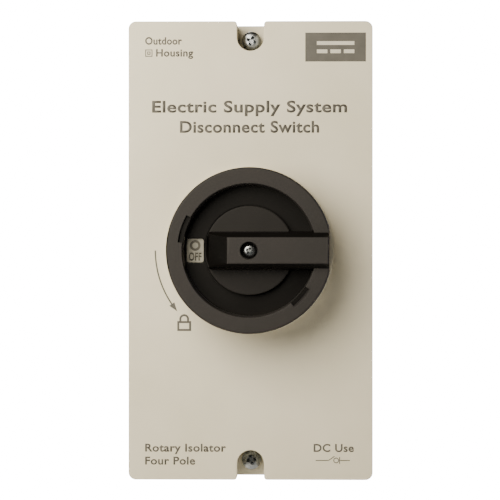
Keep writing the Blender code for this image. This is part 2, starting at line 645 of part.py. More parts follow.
def make_coupler(parent, lid_parent):
    """Coupler that clamps through the lid to the handle, and its shaft seal."""
    profile = [(0, COUPLER_BACK), (COUPLER_JOURNAL, COUPLER_BACK), (COUPLER_JOURNAL, FLANGE_BACK),
               (FLANGE_RADIUS, FLANGE_BACK), (FLANGE_RADIUS, FLANGE_TOP), (COUPLER_JOURNAL, FLANGE_TOP),
               (COUPLER_JOURNAL, COUPLER_SHOULDER), (0, COUPLER_SHOULDER)]
    half = COUPLER_SQUARE / 2
    socket = SHAFT_SOCKET / 2
    steps = [
        ("UNION", solid(add_box, (-half, half), (COUPLER_SHOULDER - OVERRUN, COUPLER_TOP), (-half, half))),
        ("DIFFERENCE", solid(add_box, (-socket, socket), (COUPLER_BACK - OVERRUN, COUPLER_SOCKET_TOP),
                             (-socket, socket))),
        ("DIFFERENCE", solid(add_rod, (0, -COUPLER_PILOT_BOTTOM, 0), (0, -(COUPLER_TOP + OVERRUN), 0),
                             KNOB_SCREW_SHANK + GAP, PILOT_STEPS)),
    ]
    data = combined(solid(add_turned, profile, HUB_STEPS), steps)
    data.transform(Matrix.Translation((0, KNOB_BACK, 0)))
    piece("drive_coupler", data, "black_moulding", parent)
    near = FLANGE_TOP + GAP
    far = LID_FACE - LID_WALL - GAP
    ring = [(BORE_RADIUS + GAP, near), (FLANGE_RADIUS - GAP, near), (FLANGE_RADIUS - GAP, far),
            (BORE_RADIUS + GAP, far)]
    piece("coupler_seal", solid(add_turned, ring, HUB_STEPS), "foam_seal", lid_parent)


def make_shaft(parent):
    """Square shaft from the rear deck to the coupler, with a chamfered tip."""
    piece("drive_shaft", solid(add_shaft), "zinc_steel", parent)


def add_shaft(mesh):
    """Add the shaft's square bar and taper its front end."""
    half = SHAFT_SQUARE / 2
    add_box(mesh, (-half, half), (SHAFT_BACK, SHAFT_TIP), (-half, half))
    front = [edge for edge in mesh.edges if all(vert.co.y < -(SHAFT_TIP - GAP) for vert in edge.verts)]
    bmesh.ops.bevel(mesh, geom=front, offset=SHAFT_TAPER, segments=1, affect="EDGES")


def stack_outline():
    """Outline shared by the decks, the mechanism housing, its cover and the foot."""
    return rounded_rectangle(DECK_WIDTH, DECK_HEIGHT, DECK_CORNER, 2)


def bolt_holes(near, far):
    """Return the steps that drill both tie-bolt holes through a plate."""
    steps = []
    for side in (-1, 1):
        ends = [(side * BOLT_X, -out, -side * BOLT_Z) for out in (near - OVERRUN, far + OVERRUN)]
        steps.append(("DIFFERENCE", solid(add_rod, *ends, BOLT_HOLE, PILOT_STEPS)))
    return steps


def deck_mesh(hand):
    """Return one deck with its back face at out = 0: chamber, strip channels and pilot holes.

    hand is 1 for a deck whose upper terminal is on the left, and -1 for its mirror image.
    """
    body = solid(add_prism, stack_outline(), 0, DECK_THICK)
    steps = [("DIFFERENCE", solid(add_rod, (0, -DECK_FLOOR, 0), (0, -(DECK_THICK + OVERRUN), 0),
                                  CHAMBER_RADIUS, CHAMBER_STEPS)),
             ("DIFFERENCE", solid(add_rod, (0, OVERRUN, 0), (0, -(DECK_FLOOR + OVERRUN), 0),
                                  SHAFT_HOLE, PILOT_STEPS))]
    for side in (-1, 1):
        x_range = sorted(hand * side * x for x in (STRIP_LOW_X - GAP, STRIP_HIGH_X + GAP))
        z_range = sorted((side * STRIP_INNER_Z, side * (DECK_HEIGHT / 2 + OVERRUN)))
        steps.append(("DIFFERENCE", solid(add_box, x_range, (STRIP_LEVEL - GAP, DECK_THICK + OVERRUN),
                                          z_range)))
        pilot = [(hand * side * TERMINAL_X, -TERMINAL_LEVEL, side * z)
                 for z in (DECK_HEIGHT / 2 + OVERRUN, DECK_HEIGHT / 2 - TERMINAL_DEPTH - GAP)]
        steps.append(("DIFFERENCE", solid(add_rod, *pilot, TERMINAL_HOLE, PILOT_STEPS)))
    return combined(body, steps + bolt_holes(0, DECK_THICK))


def contact_mesh(hand):
    """Return the upper fixed contact of a deck at out = 0: a flat strip and its terminal tab."""
    wall = DECK_HEIGHT / 2 + GAP
    strip = sorted((hand * STRIP_LOW_X, hand * STRIP_HIGH_X))
    body = solid(add_box, strip, (STRIP_LEVEL, STRIP_LEVEL + STRIP_THICK),
                 (STRIP_INNER_Z, wall + STRIP_THICK))
    tab = solid(add_box, sorted((hand * STRIP_LOW_X, hand * TAB_HIGH_X)),
                (GAP, STRIP_LEVEL + STRIP_THICK / 2), (wall, wall + STRIP_THICK))
    x = hand * TERMINAL_X
    hole = solid(add_rod, (x, -TERMINAL_LEVEL, wall - OVERRUN),
                 (x, -TERMINAL_LEVEL, wall + STRIP_THICK + OVERRUN), TERMINAL_HOLE, PILOT_STEPS)
    return combined(body, [("UNION", tab), ("DIFFERENCE", hole)])


def bridge_mesh():
    """Return a moving contact at out = 0: a ring round the rotor's hub with two arms."""
    level = DECK_FLOOR + GAP + ROTOR_SHOULDER + GAP
    body = solid(add_rod, (0, -level, 0), (0, -(level + BRIDGE_THICK), 0), BRIDGE_RING, HEAD_STEPS)
    arms = solid(add_box, (-BRIDGE_REACH, BRIDGE_REACH), (level, level + BRIDGE_THICK),
                 (-BRIDGE_HALF, BRIDGE_HALF))
    hole = solid(add_rod, (0, -(level - OVERRUN), 0), (0, -(level + 2 * OVERRUN + BRIDGE_THICK), 0),
                 BRIDGE_HOLE, HOLE_STEPS)
    return combined(body, [("UNION", arms), ("DIFFERENCE", hole)])


def rotor_mesh():
    """Return the insulating rotor of one deck, with a shoulder that carries the bridge."""
    near = DECK_FLOOR + GAP
    shoulder = near + ROTOR_SHOULDER
    top = shoulder + ROTOR_HUB_HEIGHT
    profile = [(0, near), (ROTOR_RADIUS, near), (ROTOR_RADIUS, shoulder), (ROTOR_HUB, shoulder),
               (ROTOR_HUB, top), (0, top)]
    half = SHAFT_SOCKET / 2
    socket = solid(add_box, (-half, half), (near - OVERRUN, top + OVERRUN), (-half, half))
    return combined(solid(add_turned, profile, HEAD_STEPS), [("DIFFERENCE", socket)])


def make_decks(rotor_parent):
    """Four switching decks, each with two fixed contacts and one turning bridge."""
    decks = {hand: (deck_mesh(hand), contact_mesh(hand)) for hand in (1, -1)}
    bridge = bridge_mesh()
    rotor = rotor_mesh()
    screw = screw_mesh(TERMINAL_SHANK, TERMINAL_DEPTH + STRIP_THICK, TERMINAL_HEAD, TERMINAL_HEIGHT,
                       PILOT_STEPS)
    seat = DECK_HEIGHT / 2 + 2 * GAP + STRIP_THICK
    for number in range(1, DECK_COUNT + 1):
        out = DECK_START + (number - 1) * DECK_PITCH
        hand = 1 if number % 2 else -1
        deck, contact = decks[hand]
        piece(f"switch_deck_{number}", deck, "switch_moulding", None, (0, -out, 0))
        piece(f"contact_rotor_{number}", rotor, "rotor_moulding", rotor_parent, (0, -out, 0))
        piece(f"contact_bridge_{number}", bridge, "copper", rotor_parent, (0, -out, 0))
        for name, side in (("upper", 1), ("lower", -1)):
            half_turn = 0 if side > 0 else math.pi
            x = hand * side * TERMINAL_X
            piece(f"fixed_contact_{number}_{name}", contact, "copper", None, (0, -out, 0), (0, half_turn, 0))
            piece(f"terminal_screw_{number}_{name}", screw, "zinc_steel", None,
                  (x, -(out + TERMINAL_LEVEL), side * seat), (math.radians(-90 * side), 0, 0))


def make_mechanism(rotor_parent):
    """Detent housing, cover, star wheel, plungers, springs and tie bolts."""
    floor = MECHANISM_BACK + MECHANISM_FLOOR
    middle = floor + GAP + CAM_THICK / 2
    open_end = MECHANISM_TOP + OVERRUN
    steps = [("DIFFERENCE", solid(add_rod, (0, -floor, 0), (0, -open_end, 0), CAM_CHAMBER, HUB_STEPS)),
             ("DIFFERENCE", solid(add_rod, (0, -(MECHANISM_BACK - OVERRUN), 0), (0, -(floor + OVERRUN), 0),
                                  SHAFT_HOLE, PILOT_STEPS))]
    channel = PLUNGER_RADIUS + GAP
    steps.append(("DIFFERENCE", solid(add_box, (-CHANNEL_END_X, CHANNEL_END_X), (middle - channel, open_end),
                                      (-channel, channel))))
    body = solid(add_prism, stack_outline(), MECHANISM_BACK, MECHANISM_TOP)
    housing = combined(body, steps + bolt_holes(MECHANISM_BACK, MECHANISM_TOP))
    piece("mechanism_housing", housing, "switch_moulding")

    near = MECHANISM_TOP + GAP
    far = near + COVER_THICK
    hole = solid(add_rod, (0, -(near - OVERRUN), 0), (0, -(far + OVERRUN), 0), SHAFT_HOLE, PILOT_STEPS)
    plate = solid(add_prism, stack_outline(), near, far)
    cover = combined(plate, [("DIFFERENCE", hole)] + bolt_holes(near, far))
    piece("mechanism_cover", cover, "switch_moulding")

    outline = []
    for step in range(CAM_STEPS * CAM_NOTCHES):
        angle = 2 * math.pi * step / (CAM_STEPS * CAM_NOTCHES)
        radius = CAM_RADIUS - CAM_WAVE * math.cos(CAM_NOTCHES * angle)
        outline.append((radius * math.cos(angle), radius * math.sin(angle)))
    half = SHAFT_SOCKET / 2
    socket = solid(add_box, (-half, half), (floor, floor + 2 * CAM_THICK), (-half, half))
    star = solid(add_prism, outline, floor + GAP, floor + GAP + CAM_THICK)
    wheel = combined(star, [("DIFFERENCE", socket)])
    piece("detent_wheel", wheel, "rotor_moulding", rotor_parent)

    length = PLUNGER_TAIL_X - PLUNGER_NOSE_X
    profile = [(0, 0), (PLUNGER_RADIUS, 0), (PLUNGER_RADIUS, length - PLUNGER_RADIUS), (PLUNGER_NOSE, length),
               (0, length)]
    plunger = solid(add_turned, profile, HOLE_STEPS)
    bolt = screw_mesh(BOLT_SHANK, far + GAP - FOOT_BACK - OVERRUN, BOLT_HEAD, BOLT_HEIGHT, PILOT_STEPS)
    for name, side in (("left", -1), ("right", 1)):
        turn = (0, 0, math.radians(-90 * side))
        place = (side * PLUNGER_TAIL_X, -middle, 0)
        piece(f"detent_plunger_{name}", plunger, "zinc_steel", None, place, turn)
        make_spring(f"detent_spring_{name}", side, middle)
        piece(f"tie_bolt_{name}", bolt, "zinc_steel", None, (side * BOLT_X, -(far + GAP), -side * BOLT_Z))


def make_spring(name, side, out):
    """Helical spring that pushes a plunger towards the star wheel."""
    start = PLUNGER_TAIL_X + GAP + SPRING_WIRE
    end = CHANNEL_END_X - GAP - SPRING_WIRE
    steps = int(SPRING_TURNS * SPRING_STEPS)
    curve = bpy.data.curves.new(name, "CURVE")
    curve.dimensions = "3D"
    curve.bevel_depth = SPRING_WIRE
    curve.bevel_resolution = 1
    curve.use_fill_caps = True
    coil = curve.splines.new("POLY")
    coil.points.add(steps)
    for index, point in enumerate(coil.points):
        share = index / steps
        angle = 2 * math.pi * SPRING_TURNS * share
        x = side * (start + (end - start) * share)
        point.co = (x, -out + SPRING_RADIUS * math.cos(angle), SPRING_RADIUS * math.sin(angle), 1)
    curve.materials.append(material("spring_steel"))
    made = bpy.data.objects.new(name, curve)
    bpy.context.collection.objects.link(made)


def add_rail(mesh):
    """Add the top-hat rail's folded section, run along X."""
    lip = RAIL_BACK + RAIL_DEPTH
    half = [(RAIL_WEB_HALF, RAIL_BACK), (RAIL_WEB_HALF, lip - RAIL_SHEET), (RAIL_HALF, lip - RAIL_SHEET),
            (RAIL_HALF, lip), (RAIL_WEB_HALF - RAIL_SHEET, lip),
            (RAIL_WEB_HALF - RAIL_SHEET, RAIL_BACK + RAIL_SHEET)]
    outline = half + [(-z, out) for z, out in reversed(half)]
    add_extrusion(mesh, [(-RAIL_LENGTH / 2, -out, z) for z, out in outline], (RAIL_LENGTH, 0, 0))


def make_rail():
    """Mounting rail, its two screws, the switch's foot and the sliding latch."""
    web_top = RAIL_BACK + RAIL_SHEET
    holes = []
    for side in (-1, 1):
        ends = [(side * RAIL_POST_X, -out, 0) for out in (RAIL_BACK - OVERRUN, web_top + OVERRUN)]
        holes.append(("DIFFERENCE", solid(add_rod, *ends, BOLT_HOLE, PILOT_STEPS)))
    piece("mounting_rail", combined(solid(add_rail), holes), "rail_steel")
    seat = web_top + GAP
    screw = screw_mesh(BOLT_SHANK, seat - BLIND_TIP, RAIL_SCREW_HEAD, RAIL_SCREW_HEIGHT, PILOT_STEPS)
    for name, side in (("left", -1), ("right", 1)):
        piece(f"rail_screw_{name}", screw, "zinc_steel", None, (side * RAIL_POST_X, -seat, 0))

    lip_back = RAIL_BACK + RAIL_DEPTH - RAIL_SHEET
    catch = lip_back - GAP
    half = DECK_WIDTH / 2
    slide = LATCH_WIDTH / 2
    pocket = FOOT_BACK + LATCH_POCKET + 2 * GAP
    steps = [
        ("UNION", solid(add_box, (-half, half), (HOOK_OUT, FOOT_BACK + OVERRUN),
                        (RAIL_HALF + GAP, HOOK_END))),
        ("UNION", solid(add_box, (-half, half), (HOOK_OUT, catch), (HOOK_REACH, HOOK_END - OVERRUN))),
        ("DIFFERENCE", solid(add_box, (-slide - GAP, slide + GAP), (FOOT_BACK - OVERRUN, pocket),
                             (-DECK_HEIGHT / 2 - OVERRUN, -RAIL_HALF + LATCH_TRAVEL))),
    ]
    plate = solid(add_prism, stack_outline(), FOOT_BACK, FOOT_TOP)
    foot = combined(plate, steps + bolt_holes(FOOT_BACK, FOOT_TOP))
    piece("switch_foot", foot, "switch_moulding")

    latch_steps = [
        ("UNION", solid(add_box, (-slide, slide), (HOOK_OUT, FOOT_BACK + LATCH_POCKET / 2),
                        (-RAIL_HALF - 3 * GAP - LATCH_TRAVEL, -RAIL_HALF - GAP))),
        ("UNION", solid(add_box, (-slide, slide), (HOOK_OUT, catch),
                        (-RAIL_HALF - LATCH_TRAVEL, -RAIL_HALF + LATCH_TRAVEL - 4 * GAP))),
    ]
    body = solid(add_box, (-slide, slide), (FOOT_BACK, FOOT_BACK + LATCH_POCKET),
                 (-LATCH_TAIL, -RAIL_HALF - GAP))
    piece("rail_latch", combined(body, latch_steps), "rail_steel")


def make_earth_bar():
    """Earth terminal bar with wire holes, on its post in the base."""
    far = EARTH_BACK + EARTH_SIDE
    low, high = EARTH_Z - EARTH_SIDE / 2, EARTH_Z + EARTH_SIDE / 2
    body = solid(add_box, (-EARTH_HALF, EARTH_HALF), (EARTH_BACK, far), (low, high))
    steps = [("DIFFERENCE", solid(add_rod, (0, -(EARTH_BACK - OVERRUN), EARTH_Z),
                                  (0, -(far + OVERRUN), EARTH_Z), BOLT_HOLE, PILOT_STEPS))]
    middle = EARTH_BACK + EARTH_SIDE / 2
    for x in EARTH_WIRE_X:
        steps.append(("DIFFERENCE", solid(add_rod, (x, -middle, low - OVERRUN), (x, -middle, high + OVERRUN),
                                          EARTH_WIRE_HOLE, PILOT_STEPS)))
    piece("earth_bar", combined(body, steps), "brass")
    screw = screw_mesh(BOLT_SHANK, far + GAP - BLIND_TIP, EARTH_SCREW_HEAD, EARTH_SCREW_HEIGHT, PILOT_STEPS)
    piece("earth_screw", screw, "zinc_steel", None, (0, -(far + GAP), EARTH_Z))


def main():
    """Clear the scene and build every piece."""
    for old in list(bpy.data.objects):
        bpy.data.objects.remove(old)
    lid = joint_empty("lid_slide", 0)
    knob = joint_empty("knob_axis", KNOB_BACK, lid)
    rotor = joint_empty("rotor_axis", 0)
    make_base()
    make_gasket()
    make_lid(lid)
    make_lid_screws(lid)
    make_legend(lid)
    make_knob(knob)
    make_coupler(knob, lid)
    make_shaft(rotor)
    make_decks(rotor)
    make_mechanism(rotor)
    make_rail()
    make_earth_bar()


main()
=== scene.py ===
"""Looks of a wall-mounted rotary isolator switch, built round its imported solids.

The back of the box lies on the plane Y = 0, its front faces -Y and +Z is up. "Out" is a distance from the
wall, so a point at "out" has Y = -out. All sizes are in metres.
"""
import json
import logging
import math
from collections.abc import Callable, Iterator, Sequence
from contextlib import contextmanager
from dataclasses import dataclass
from enum import Enum

import bmesh
import bpy
from mathutils import Matrix, Vector


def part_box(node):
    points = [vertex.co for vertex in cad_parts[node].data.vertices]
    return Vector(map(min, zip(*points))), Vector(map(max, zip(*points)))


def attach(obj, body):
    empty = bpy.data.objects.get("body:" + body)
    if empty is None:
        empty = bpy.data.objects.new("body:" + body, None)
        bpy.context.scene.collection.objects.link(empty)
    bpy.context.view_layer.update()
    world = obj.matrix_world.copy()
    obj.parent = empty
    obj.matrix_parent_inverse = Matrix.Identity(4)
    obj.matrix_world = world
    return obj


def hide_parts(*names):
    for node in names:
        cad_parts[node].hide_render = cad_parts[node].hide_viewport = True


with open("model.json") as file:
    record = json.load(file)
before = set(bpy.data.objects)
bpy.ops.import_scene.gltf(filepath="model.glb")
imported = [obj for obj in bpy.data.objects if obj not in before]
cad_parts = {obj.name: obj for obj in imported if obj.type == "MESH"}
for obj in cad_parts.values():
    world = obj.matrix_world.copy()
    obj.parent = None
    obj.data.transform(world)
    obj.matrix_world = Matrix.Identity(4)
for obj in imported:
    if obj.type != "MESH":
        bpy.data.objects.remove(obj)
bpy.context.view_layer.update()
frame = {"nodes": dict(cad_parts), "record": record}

MM = 0.001
LOG = logging.getLogger("isolator")

LID_FACE = 80.0 * MM
MERGE = 0.002 * MM
FLAT = 0.01 * MM

Point = tuple[float, float]
Piece = bpy.types.Object
Test = Callable[[Vector, Vector], bool]


class Cut(Enum):
    """What a tool does to the piece it meets."""

    REMOVE = "DIFFERENCE"
    JOIN = "UNION"
    KEEP = "INTERSECT"


# ---------------------------------------------------------------------------------------------------------
# Bench: modelling by hand tools
# ---------------------------------------------------------------------------------------------------------

def clear_selection() -> None:
    """Leave edit mode and deselect every object."""
    if bpy.context.mode != "OBJECT":
        bpy.ops.object.mode_set(mode="OBJECT")
    bpy.ops.object.select_all(action="DESELECT")


def pick(piece: Piece) -> None:
    """Make one piece the only selected and active object."""
    clear_selection()
    piece.select_set(True)
    bpy.context.view_layer.objects.active = piece


@contextmanager
def editing(piece: Piece, everything: bool = False) -> Iterator[None]:
    """Work on one piece in edit mode.

    Args:
        piece: The piece to edit.
        everything: Whether all of it starts selected; otherwise nothing does.
    """
    pick(piece)
    bpy.ops.object.mode_set(mode="EDIT")
    bpy.ops.mesh.select_mode(type="VERT")
    bpy.ops.mesh.select_all(action="SELECT" if everything else "DESELECT")
    yield
    bpy.ops.object.mode_set(mode="OBJECT")


def choose(piece: Piece, mode: str, test: Test) -> int:
    """Select the edges or the faces of the piece in edit mode that pass a test.

    Args:
        piece: The piece that is in edit mode.
        mode: "EDGE" or "FACE".
        test: Takes the places of an edge's ends, or a face's middle and normal.

    Returns:
        How many are selected.
    """
    bpy.ops.mesh.select_mode(type=mode)
    mesh = bmesh.from_edit_mesh(piece.data)
    if mode == "EDGE":
        for edge in mesh.edges:
            edge.select_set(test(edge.verts[0].co, edge.verts[1].co))
        chosen = sum(edge.select for edge in mesh.edges)
    else:
        for face in mesh.faces:
            face.select_set(test(face.calc_center_median(), face.normal))
        chosen = sum(face.select for face in mesh.faces)
    bmesh.update_edit_mesh(piece.data)
    return chosen


def face_outward() -> None:
    """Select all of the piece in edit mode and turn its faces outwards."""
    bpy.ops.mesh.select_all(action="SELECT")
    bpy.ops.mesh.normals_make_consistent(inside=False)


def settle(piece: Piece, name: str) -> Piece:
    """Name a piece and move its place, turn and scale into its mesh."""
    pick(piece)
    bpy.ops.object.transform_apply(location=True, rotation=True, scale=True)
    piece.name = name
    piece.data.name = name
    return piece


def block(name: str, x: Point, out: Point, z: Point) -> Piece:
    """Add a box between two values on each axis.

    Args:
        name: The new piece's name.
        x: Its low and high X.
        out: Its nearest and furthest distance from the wall.
        z: Its low and high Z.

    Returns:
        The box.
    """
    clear_selection()
    bpy.ops.mesh.primitive_cube_add(size=1.0, location=(sum(x) / 2, -sum(out) / 2, sum(z) / 2))
    made = bpy.context.object
    made.scale = (abs(x[1] - x[0]), abs(out[1] - out[0]), abs(z[1] - z[0]))
    return settle(made, name)


def rod(name: str, start: Sequence[float], end: Sequence[float], radius: float, sides: int) -> Piece:
    """Add a round bar between two points.

    Args:
        name: The new piece's name.
        start: The middle of one end.
        end: The middle of the other end.
        radius: The bar's radius.
        sides: The number of its flats.

    Returns:
        The bar.
    """
    run = Vector(end) - Vector(start)
    clear_selection()
    bpy.ops.mesh.primitive_cylinder_add(vertices=sides, radius=radius, depth=run.length,
                                        location=(Vector(start) + Vector(end)) / 2,
                                        rotation=run.to_track_quat("Z", "Y").to_euler())
    return settle(bpy.context.object, name)


def draw_path(name: str, points: Sequence[Sequence[float]], closed: bool) -> Piece:
    """Draw a chain of edges by extruding one vertex from point to point.

    Args:
        name: The new piece's name.
        points: The places (x, y, z) of the chain's vertices.
        closed: Whether the last one joins the first.

    Returns:
        The chain.
    """
    clear_selection()
    bpy.ops.mesh.primitive_plane_add(size=MM, location=points[0])
    made = settle(bpy.context.object, name)
    with editing(made, everything=True):
        bpy.ops.mesh.merge(type="CENTER")
        for before, after in zip(points, points[1:]):
            step = [new - old for old, new in zip(before, after)]
            bpy.ops.mesh.extrude_vertices_move(TRANSFORM_OT_translate={"value": step})
        if closed:
            ends = Vector(points[0]), Vector(points[-1])
            mesh = bmesh.from_edit_mesh(made.data)
            for vertex in mesh.verts:
                vertex.select_set(min((vertex.co - end).length for end in ends) < MERGE / 2)
            bmesh.update_edit_mesh(made.data)
            bpy.ops.mesh.edge_face_add()
    return made


def turned(name: str, profile: Sequence[Point], steps: int) -> Piece:
    """Turn a profile about the handle's axis.

    Args:
        name: The new piece's name.
        profile: Points (radius, out). One that starts and ends on the axis is open, any other is a loop.
        steps: The number of flats round the piece.

    Returns:
        The closed, turned piece.
    """
    on_axis = profile[0][0] == 0 and profile[-1][0] == 0
    made = draw_path(name, [(radius, -out, 0) for radius, out in profile], closed=not on_axis)
    with editing(made, everything=True):
        bpy.ops.mesh.spin(steps=steps, angle=2 * math.pi, center=(0, 0, 0), axis=(0, 1, 0))
        bpy.ops.mesh.select_all(action="SELECT")
        bpy.ops.mesh.remove_doubles(threshold=MERGE)
        face_outward()
    return made


def prism(name: str, outline: Sequence[Sequence[float]], shift: Sequence[float]) -> Piece:
    """Fill an outline and extrude it into a block.

    Args:
        name: The new piece's name.
        outline: The places (x, y, z) of the outline's points.
        shift: How far the outline is extruded.

    Returns:
        The closed block.
    """
    made = draw_path(name, outline, closed=True)
    with editing(made, everything=True):
        bpy.ops.mesh.edge_face_add()
        bpy.ops.mesh.extrude_region_move(TRANSFORM_OT_translate={"value": shift})
        face_outward()
    return made


def apply_modifier(piece: Piece, kind: str, **settings: object) -> None:
    """Add a modifier to a piece and apply it."""
    pick(piece)
    modifier = piece.modifiers.new(kind.lower(), kind)
    for key, value in settings.items():
        setattr(modifier, key, value)
    bpy.ops.object.modifier_apply(modifier=modifier.name)


def shape(piece: Piece, cut: Cut, *tools: Piece) -> Piece:
    """Cut, join or trim a piece with other pieces, which are used up.

    Args:
        piece: The piece that is shaped.
        cut: What the tools do.
        tools: The pieces that do it.

    Returns:
        The same piece.
    """
    for tool in tools:
        apply_modifier(piece, "BOOLEAN", operation=cut.value, object=tool, solver="EXACT")
        bpy.data.objects.remove(tool)
    return piece


def round_edges(piece: Piece, radius: float, segments: int,
                test: Test) -> Piece:
    """Round the edges whose ends pass a test.

    Args:
        piece: The piece to round.
        radius: The radius of the rounding.
        segments: How many faces the rounding has across.
        test: Takes the places of an edge's ends.

    Returns:
        The same piece.
    """
    with editing(piece):
        if choose(piece, "EDGE", test):
            bpy.ops.mesh.bevel(offset=radius, offset_type="OFFSET", segments=segments, affect="EDGES",
                               clamp_overlap=True)
    return piece


def tidy_faces(piece: Piece) -> None:
    """Merge doubled points and dissolve edges that lie in flat faces."""
    with editing(piece, everything=True):
        bpy.ops.mesh.remove_doubles(threshold=MERGE)
        bpy.ops.mesh.dissolve_limited(angle_limit=math.radians(0.2))


def finish_shading(piece: Piece, angle: float = 32.0) -> Piece:
    """Shade a piece smooth over its roundings and flat on its large faces."""
    pick(piece)
    bpy.ops.object.shade_smooth_by_angle(angle=math.radians(angle), keep_sharp_edges=True)
    apply_modifier(piece, "WEIGHTED_NORMAL", mode="FACE_AREA", weight=100, keep_sharp=True)
    return piece


def join_pieces(name: str, pieces: Sequence[Piece]) -> Piece:
    """Join flat marks that never touch into one named piece."""
    clear_selection()
    for piece in pieces:
        piece.select_set(True)
    bpy.context.view_layer.objects.active = pieces[0]
    if len(pieces) > 1:
        bpy.ops.object.join()
    return settle(bpy.context.object, name)


def arc_points(centre: Point, radius: float, start: float, end: float, steps: int) -> list[Point]:
    """Points along an arc.

    Args:
        centre: The arc's centre.
        radius: Its radius.
        start: The angle of its first point, in degrees.
        end: The angle of its last point, in degrees.
        steps: The number of chords.

    Returns:
        The points, from start to end.
    """
    angles = [math.radians(start + (end - start) * step / steps) for step in range(steps + 1)]
    return [(centre[0] + radius * math.cos(a), centre[1] + radius * math.sin(a)) for a in angles]


# ---------------------------------------------------------------------------------------------------------
# Finishes
# ---------------------------------------------------------------------------------------------------------

def linear(colour: str) -> tuple[float, float, float, float]:
    """Turn an sRGB hex colour such as "#8a8f94" into linear RGBA."""
    channels = [int(colour[start:start + 2], 16) / 255 for start in (1, 3, 5)]
    red, green, blue = (c / 12.92 if c <= 0.04045 else ((c + 0.055) / 1.055) ** 2.4 for c in channels)
    return red, green, blue, 1.0


def add_node(tree: bpy.types.NodeTree, kind: str, settings: dict[str, object],
             links: dict[str, bpy.types.NodeSocket]) -> bpy.types.Node:
    """Add a node with its settings and links.

    Args:
        tree: The material's node tree.
        kind: The node's type, without its ShaderNode prefix.
        settings: Properties and unlinked inputs, by name.
        links: Output sockets, by the name of the input they feed.

    Returns:
        The node.
    """
    node = tree.nodes.new("ShaderNode" + kind)
    for key, value in settings.items():
        if key in node.inputs:
            node.inputs[key].default_value = value
        else:
            setattr(node, key, value)
    for key, source in links.items():
        tree.links.new(source, node.inputs[key])
    return node


def start_material(name: str) -> tuple[bpy.types.Material, bpy.types.NodeTree, bpy.types.Node]:
    """Return a new material, its tree and its Principled node."""
    made = bpy.data.materials.new(name)
    made.use_nodes = True
    tree = made.node_tree
    return made, tree, tree.nodes["Principled BSDF"]


def add_noise(tree: bpy.types.NodeTree, size: float, detail: float, place: bpy.types.NodeSocket,
              roughness: float = 0.5) -> bpy.types.Node:
    """Add a noise with features of about one size."""
    return add_node(tree, "TexNoise", {"Scale": 1 / size, "Detail": detail, "Roughness": roughness},
                    {"Vector": place})


def add_ramp(tree: bpy.types.NodeTree, low: str, high: str, span: Point, source: bpy.types.Node) -> bpy.types.Node:
    """Add a colour ramp with two stops that reads a noise."""
    ramp = add_node(tree, "ValToRGB", {}, {"Fac": source.outputs["Fac"]})
    for stop, colour, place in zip(ramp.color_ramp.elements, (low, high), span):
        stop.color = linear(colour)
        stop.position = place
    return ramp


def add_surface(tree: bpy.types.NodeTree, ramp: bpy.types.Node, gloss: tuple[float, float, bpy.types.Node],
                relief: tuple[float, bpy.types.Node]) -> None:
    """Feed the Principled node a colour, an uneven gloss and a fine relief.

    Args:
        tree: The material's node tree.
        ramp: The node that gives the colour.
        gloss: The least and greatest roughness, and the noise that swings between them.
        relief: The relief's depth, and the noise that gives its height.
    """
    low, high, swing = gloss
    depth, height = relief
    uneven = add_node(tree, "MapRange", {"To Min": low, "To Max": high}, {"Value": swing.outputs["Fac"]})
    bump = add_node(tree, "Bump", {"Strength": 1.0, "Distance": depth}, {"Height": height.outputs["Fac"]})
    shader = tree.nodes["Principled BSDF"]
    tree.links.new(ramp.outputs["Color"], shader.inputs["Base Color"])
    tree.links.new(uneven.outputs["Result"], shader.inputs["Roughness"])
    tree.links.new(bump.outputs["Normal"], shader.inputs["Normal"])


@dataclass(frozen=True)
class Moulding:
    """Injection-moulded plastic with the fine spark-eroded texture of its tool."""

    name: str
    shade: str
    tint: str
    roughness: float
    grain: float
    grain_depth: float
    mottle: float
    roughness_swing: float = 0.06
    specular: float = 0.5

    def material(self) -> bpy.types.Material:
        """Build the material: faint tone drift, pebbled grain and a slightly uneven gloss."""
        made, tree, shader = start_material(self.name)
        place = add_node(tree, "TexCoord", {}, {}).outputs["Object"]
        ramp = add_ramp(tree, self.shade, self.tint, (0.36, 0.66), add_noise(tree, self.mottle, 3.0, place, 0.55))
        grain = add_noise(tree, self.grain, 2.0, place)
        low, high = self.roughness - self.roughness_swing, self.roughness + self.roughness_swing
        add_surface(tree, ramp, (low, high, grain), (self.grain_depth, grain))
        shader.inputs["Specular IOR Level"].default_value = self.specular
        return made


@dataclass(frozen=True)
class PlatedMetal:
    """Bare or plated metal with a faint cloudiness and fine drawing marks."""

    name: str
    shade: str
    tint: str
    roughness: float
    cloud: float
    mark: float
    mark_depth: float
    stretch: tuple[float, float, float] = (1.0, 1.0, 1.0)

    def material(self) -> bpy.types.Material:
        """Build the material: clouded colour and gloss over stretched fine marks."""
        made, tree, shader = start_material(self.name)
        place = add_node(tree, "TexCoord", {}, {}).outputs["Object"]
        cloud = add_noise(tree, self.cloud, 3.0, place)
        ramp = add_ramp(tree, self.shade, self.tint, (0.35, 0.65), cloud)
        pulled = add_node(tree, "Mapping", {"Scale": self.stretch}, {"Vector": place})
        mark = add_noise(tree, self.mark, 2.0, pulled.outputs["Vector"])
        add_surface(tree, ramp, (self.roughness * 0.75, self.roughness * 1.3, cloud), (self.mark_depth, mark))
        shader.inputs["Metallic"].default_value = 1.0
        return made


